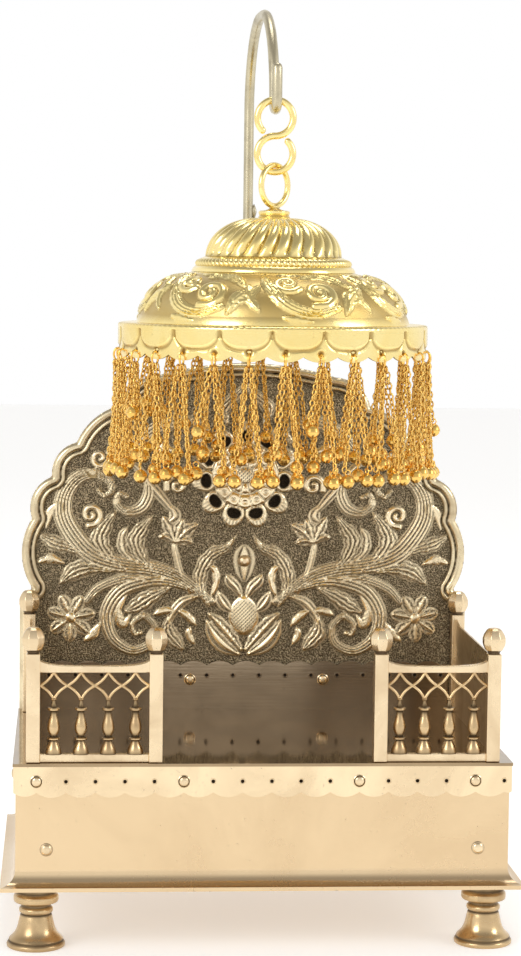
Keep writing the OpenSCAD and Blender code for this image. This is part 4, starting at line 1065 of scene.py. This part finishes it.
chain_brass = brass("chain_brass", (0.98, 0.65, 0.19), (0.88, 0.52, 0.12), (0.22, 0.10, 0.02), smooth=0.16, rough=0.3, cloud_size=160.0)
random.seed(28)
hang_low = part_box("fringe_bells")[0].z
hole_z = rim_high.z - 0.0013 - 0.0099
bell_r = 0.00275


def round_canopy(r, angle, side, z):
    return Vector((centre_x + r * math.cos(angle) - side * math.sin(angle), centre_y + r * math.sin(angle) + side * math.cos(angle), z))


link_major, link_minor = 8, 5
link_points = []
for j in range(link_major):
    a = 2 * math.pi * j / link_major
    for k in range(link_minor):
        b = 2 * math.pi * k / link_minor
        q = 0.00088 + 0.00038 * math.cos(b)
        link_points.append((q * math.cos(a), 0.00038 * math.sin(b), (q + 0.0005) * math.sin(a)))
link_points = np.array(link_points)
link_faces = np.array([(j * link_minor + k, ((j + 1) % link_major) * link_minor + k, ((j + 1) % link_major) * link_minor + (k + 1) % link_minor, j * link_minor + (k + 1) % link_minor) for j in range(link_major) for k in range(link_minor)])


def hang_chain(shape, a, b, sway):
    """Links from a to b, each turned a quarter from the last and leaning as curb links do."""
    down = b - a
    count = max(2, round(down.length / 0.0021))
    axis = down.normalized()
    side = axis.orthogonal().normalized()
    other = axis.cross(side)
    roll = random.uniform(0, math.pi)
    for i in range(count):
        t = (i + 0.5) / count
        place = np.array(a + down * t) + np.array(sway) * math.sin(math.pi * t)
        angle = roll + (math.pi / 2 if i % 2 else 0) + 0.5 * math.sin(i * 0.7)
        u = np.array(side) * math.cos(angle) + np.array(other) * math.sin(angle)
        w = np.array(axis)
        v = np.cross(w, u)
        # each link is painted darker at its two ends, where it meets the next links: painted shade and tarnish
        shape.add(link_points[:, :1] * u + link_points[:, 1:2] * v + link_points[:, 2:] * w + place, link_faces, np.where(np.abs(link_points[:, 2]) > 0.0011, 0.45, 0.05))


def hang_bell(shape, top, lean=0.0):
    """A closed bell: a round shell with a pressed seam, a crossed slit below and a wire loop on top. The slit is a
    shallow dent painted black, as painted shade.
    """
    rows = [(0.02, 1.0), (0.20, 0.98), (0.42, 0.91), (0.66, 0.75), (0.90, 0.42), (1.0, 0.09), (1.03, 0.04), (1.03, -0.04), (1.0, -0.09), (0.94, -0.34), (0.82, -0.57), (0.62, -0.78), (0.40, -0.92), (0.18, -0.98), (0.02, -1.0)]
    sides = 20
    centre = top - Vector((0, 0, bell_r + 0.0012))
    points, grime_and_shade = [], []
    for r, h in rows:
        for k in range(sides):
            a = 2 * math.pi * k / sides
            slit = h < -0.5 and k % 5 == 0
            q = 0.93 if slit else 1.0
            points.append((centre.x + bell_r * q * r * math.cos(a), centre.y + bell_r * q * r * math.sin(a), centre.z + bell_r * q * h))
            # the slit lines are painted black: painted shade for the opening; the seam is painted darker
            grime_and_shade.append(1.0 if slit else 0.35 if abs(h) < 0.05 else 0.0)
    faces = [(j * sides + (k + 1) % sides, j * sides + k, (j + 1) * sides + k, (j + 1) * sides + (k + 1) % sides) for j in range(len(rows) - 1) for k in range(sides)]
    shape.add(points, faces, grime_and_shade)
    turn_a = random.uniform(0, math.pi)
    ring = [(centre.x + 0.0011 * math.sin(a) * math.cos(turn_a), centre.y + 0.0011 * math.sin(a) * math.sin(turn_a), centre.z + bell_r + 0.0008 + 0.0011 * math.cos(a)) for a in [2 * math.pi * k / 12 for k in range(12)]]
    shape.wire(ring, 0.00028, 6, closed=True)


chains, inner_chains, bells, rings = Shape(), Shape(), Shape(), Shape()
for k in range(holes):
    hole = 2 * math.pi * k / holes
    outward = Vector((math.cos(hole), math.sin(hole), 0))
    sideways = Vector((-math.sin(hole), math.cos(hole), 0))
    top = round_canopy(rim_r - 0.0002, hole, 0, hole_z - 0.0022)
    tip = random.uniform(-0.3, 0.3)
    ring = []
    for j in range(18):
        a = 2 * math.pi * j / 18
        flat = (outward * math.cos(tip) + sideways * math.sin(tip)) * 0.0016 * math.sin(a)
        ring.append(top + flat + Vector((0, 0, 0.0026 * math.cos(a))))
    rings.wire(ring, 0.00045, 8, closed=True)
    for side in (-1, 1):
        start = round_canopy(rim_r + 0.0008, hole, side * 0.0009, hole_z - 0.0046)
        point = hole + side * math.pi / holes
        high = random.random() < 0.14
        low_z = hang_low + 0.0072 + random.uniform(0, 0.0022)
        if high:
            low_z += random.uniform(0.014, 0.026)
        end = round_canopy(rim_r + 0.0030 + random.uniform(-0.0006, 0.0004), point, -side * random.uniform(0.0008, 0.0022), low_z)
        sway = (sideways * random.uniform(-0.0013, 0.0013) - outward * random.uniform(0, 0.0008))
        hang_chain(chains, start, end, sway)
        inner = round_canopy(rim_r - random.uniform(0.0012, 0.003), hole + side * random.uniform(0.25, 0.75) * math.pi / holes, 0, hang_low + 0.0072 + random.uniform(0, 0.012))
        hang_chain(inner_chains, round_canopy(rim_r - 0.0006, hole, side * 0.0008, hole_z - 0.0046), inner, -sway * 0.6)
        hang_bell(bells, inner)
        hang_bell(bells, round_canopy(rim_r + 0.0030, point, -side * random.uniform(0.0026, 0.0032), low_z + 0.0002))
        if random.random() < 0.45:
            hang_bell(bells, round_canopy(rim_r - 0.0022, point, -side * random.uniform(0.0004, 0.003), low_z + random.uniform(-0.0003, 0.0026)))
make_piece("fringe_rings", rings, chain_brass, "canopy", crisp=60)
make_piece("fringe_inner_chains", inner_chains, chain_brass, "canopy", crisp=80)
make_piece("fringe_curb_chains", chains, chain_brass, "canopy", ["fringe_chains"], crisp=80)
make_piece("fringe_closed_bells", bells, chain_brass, "canopy", ["fringe_bells"], crisp=40)
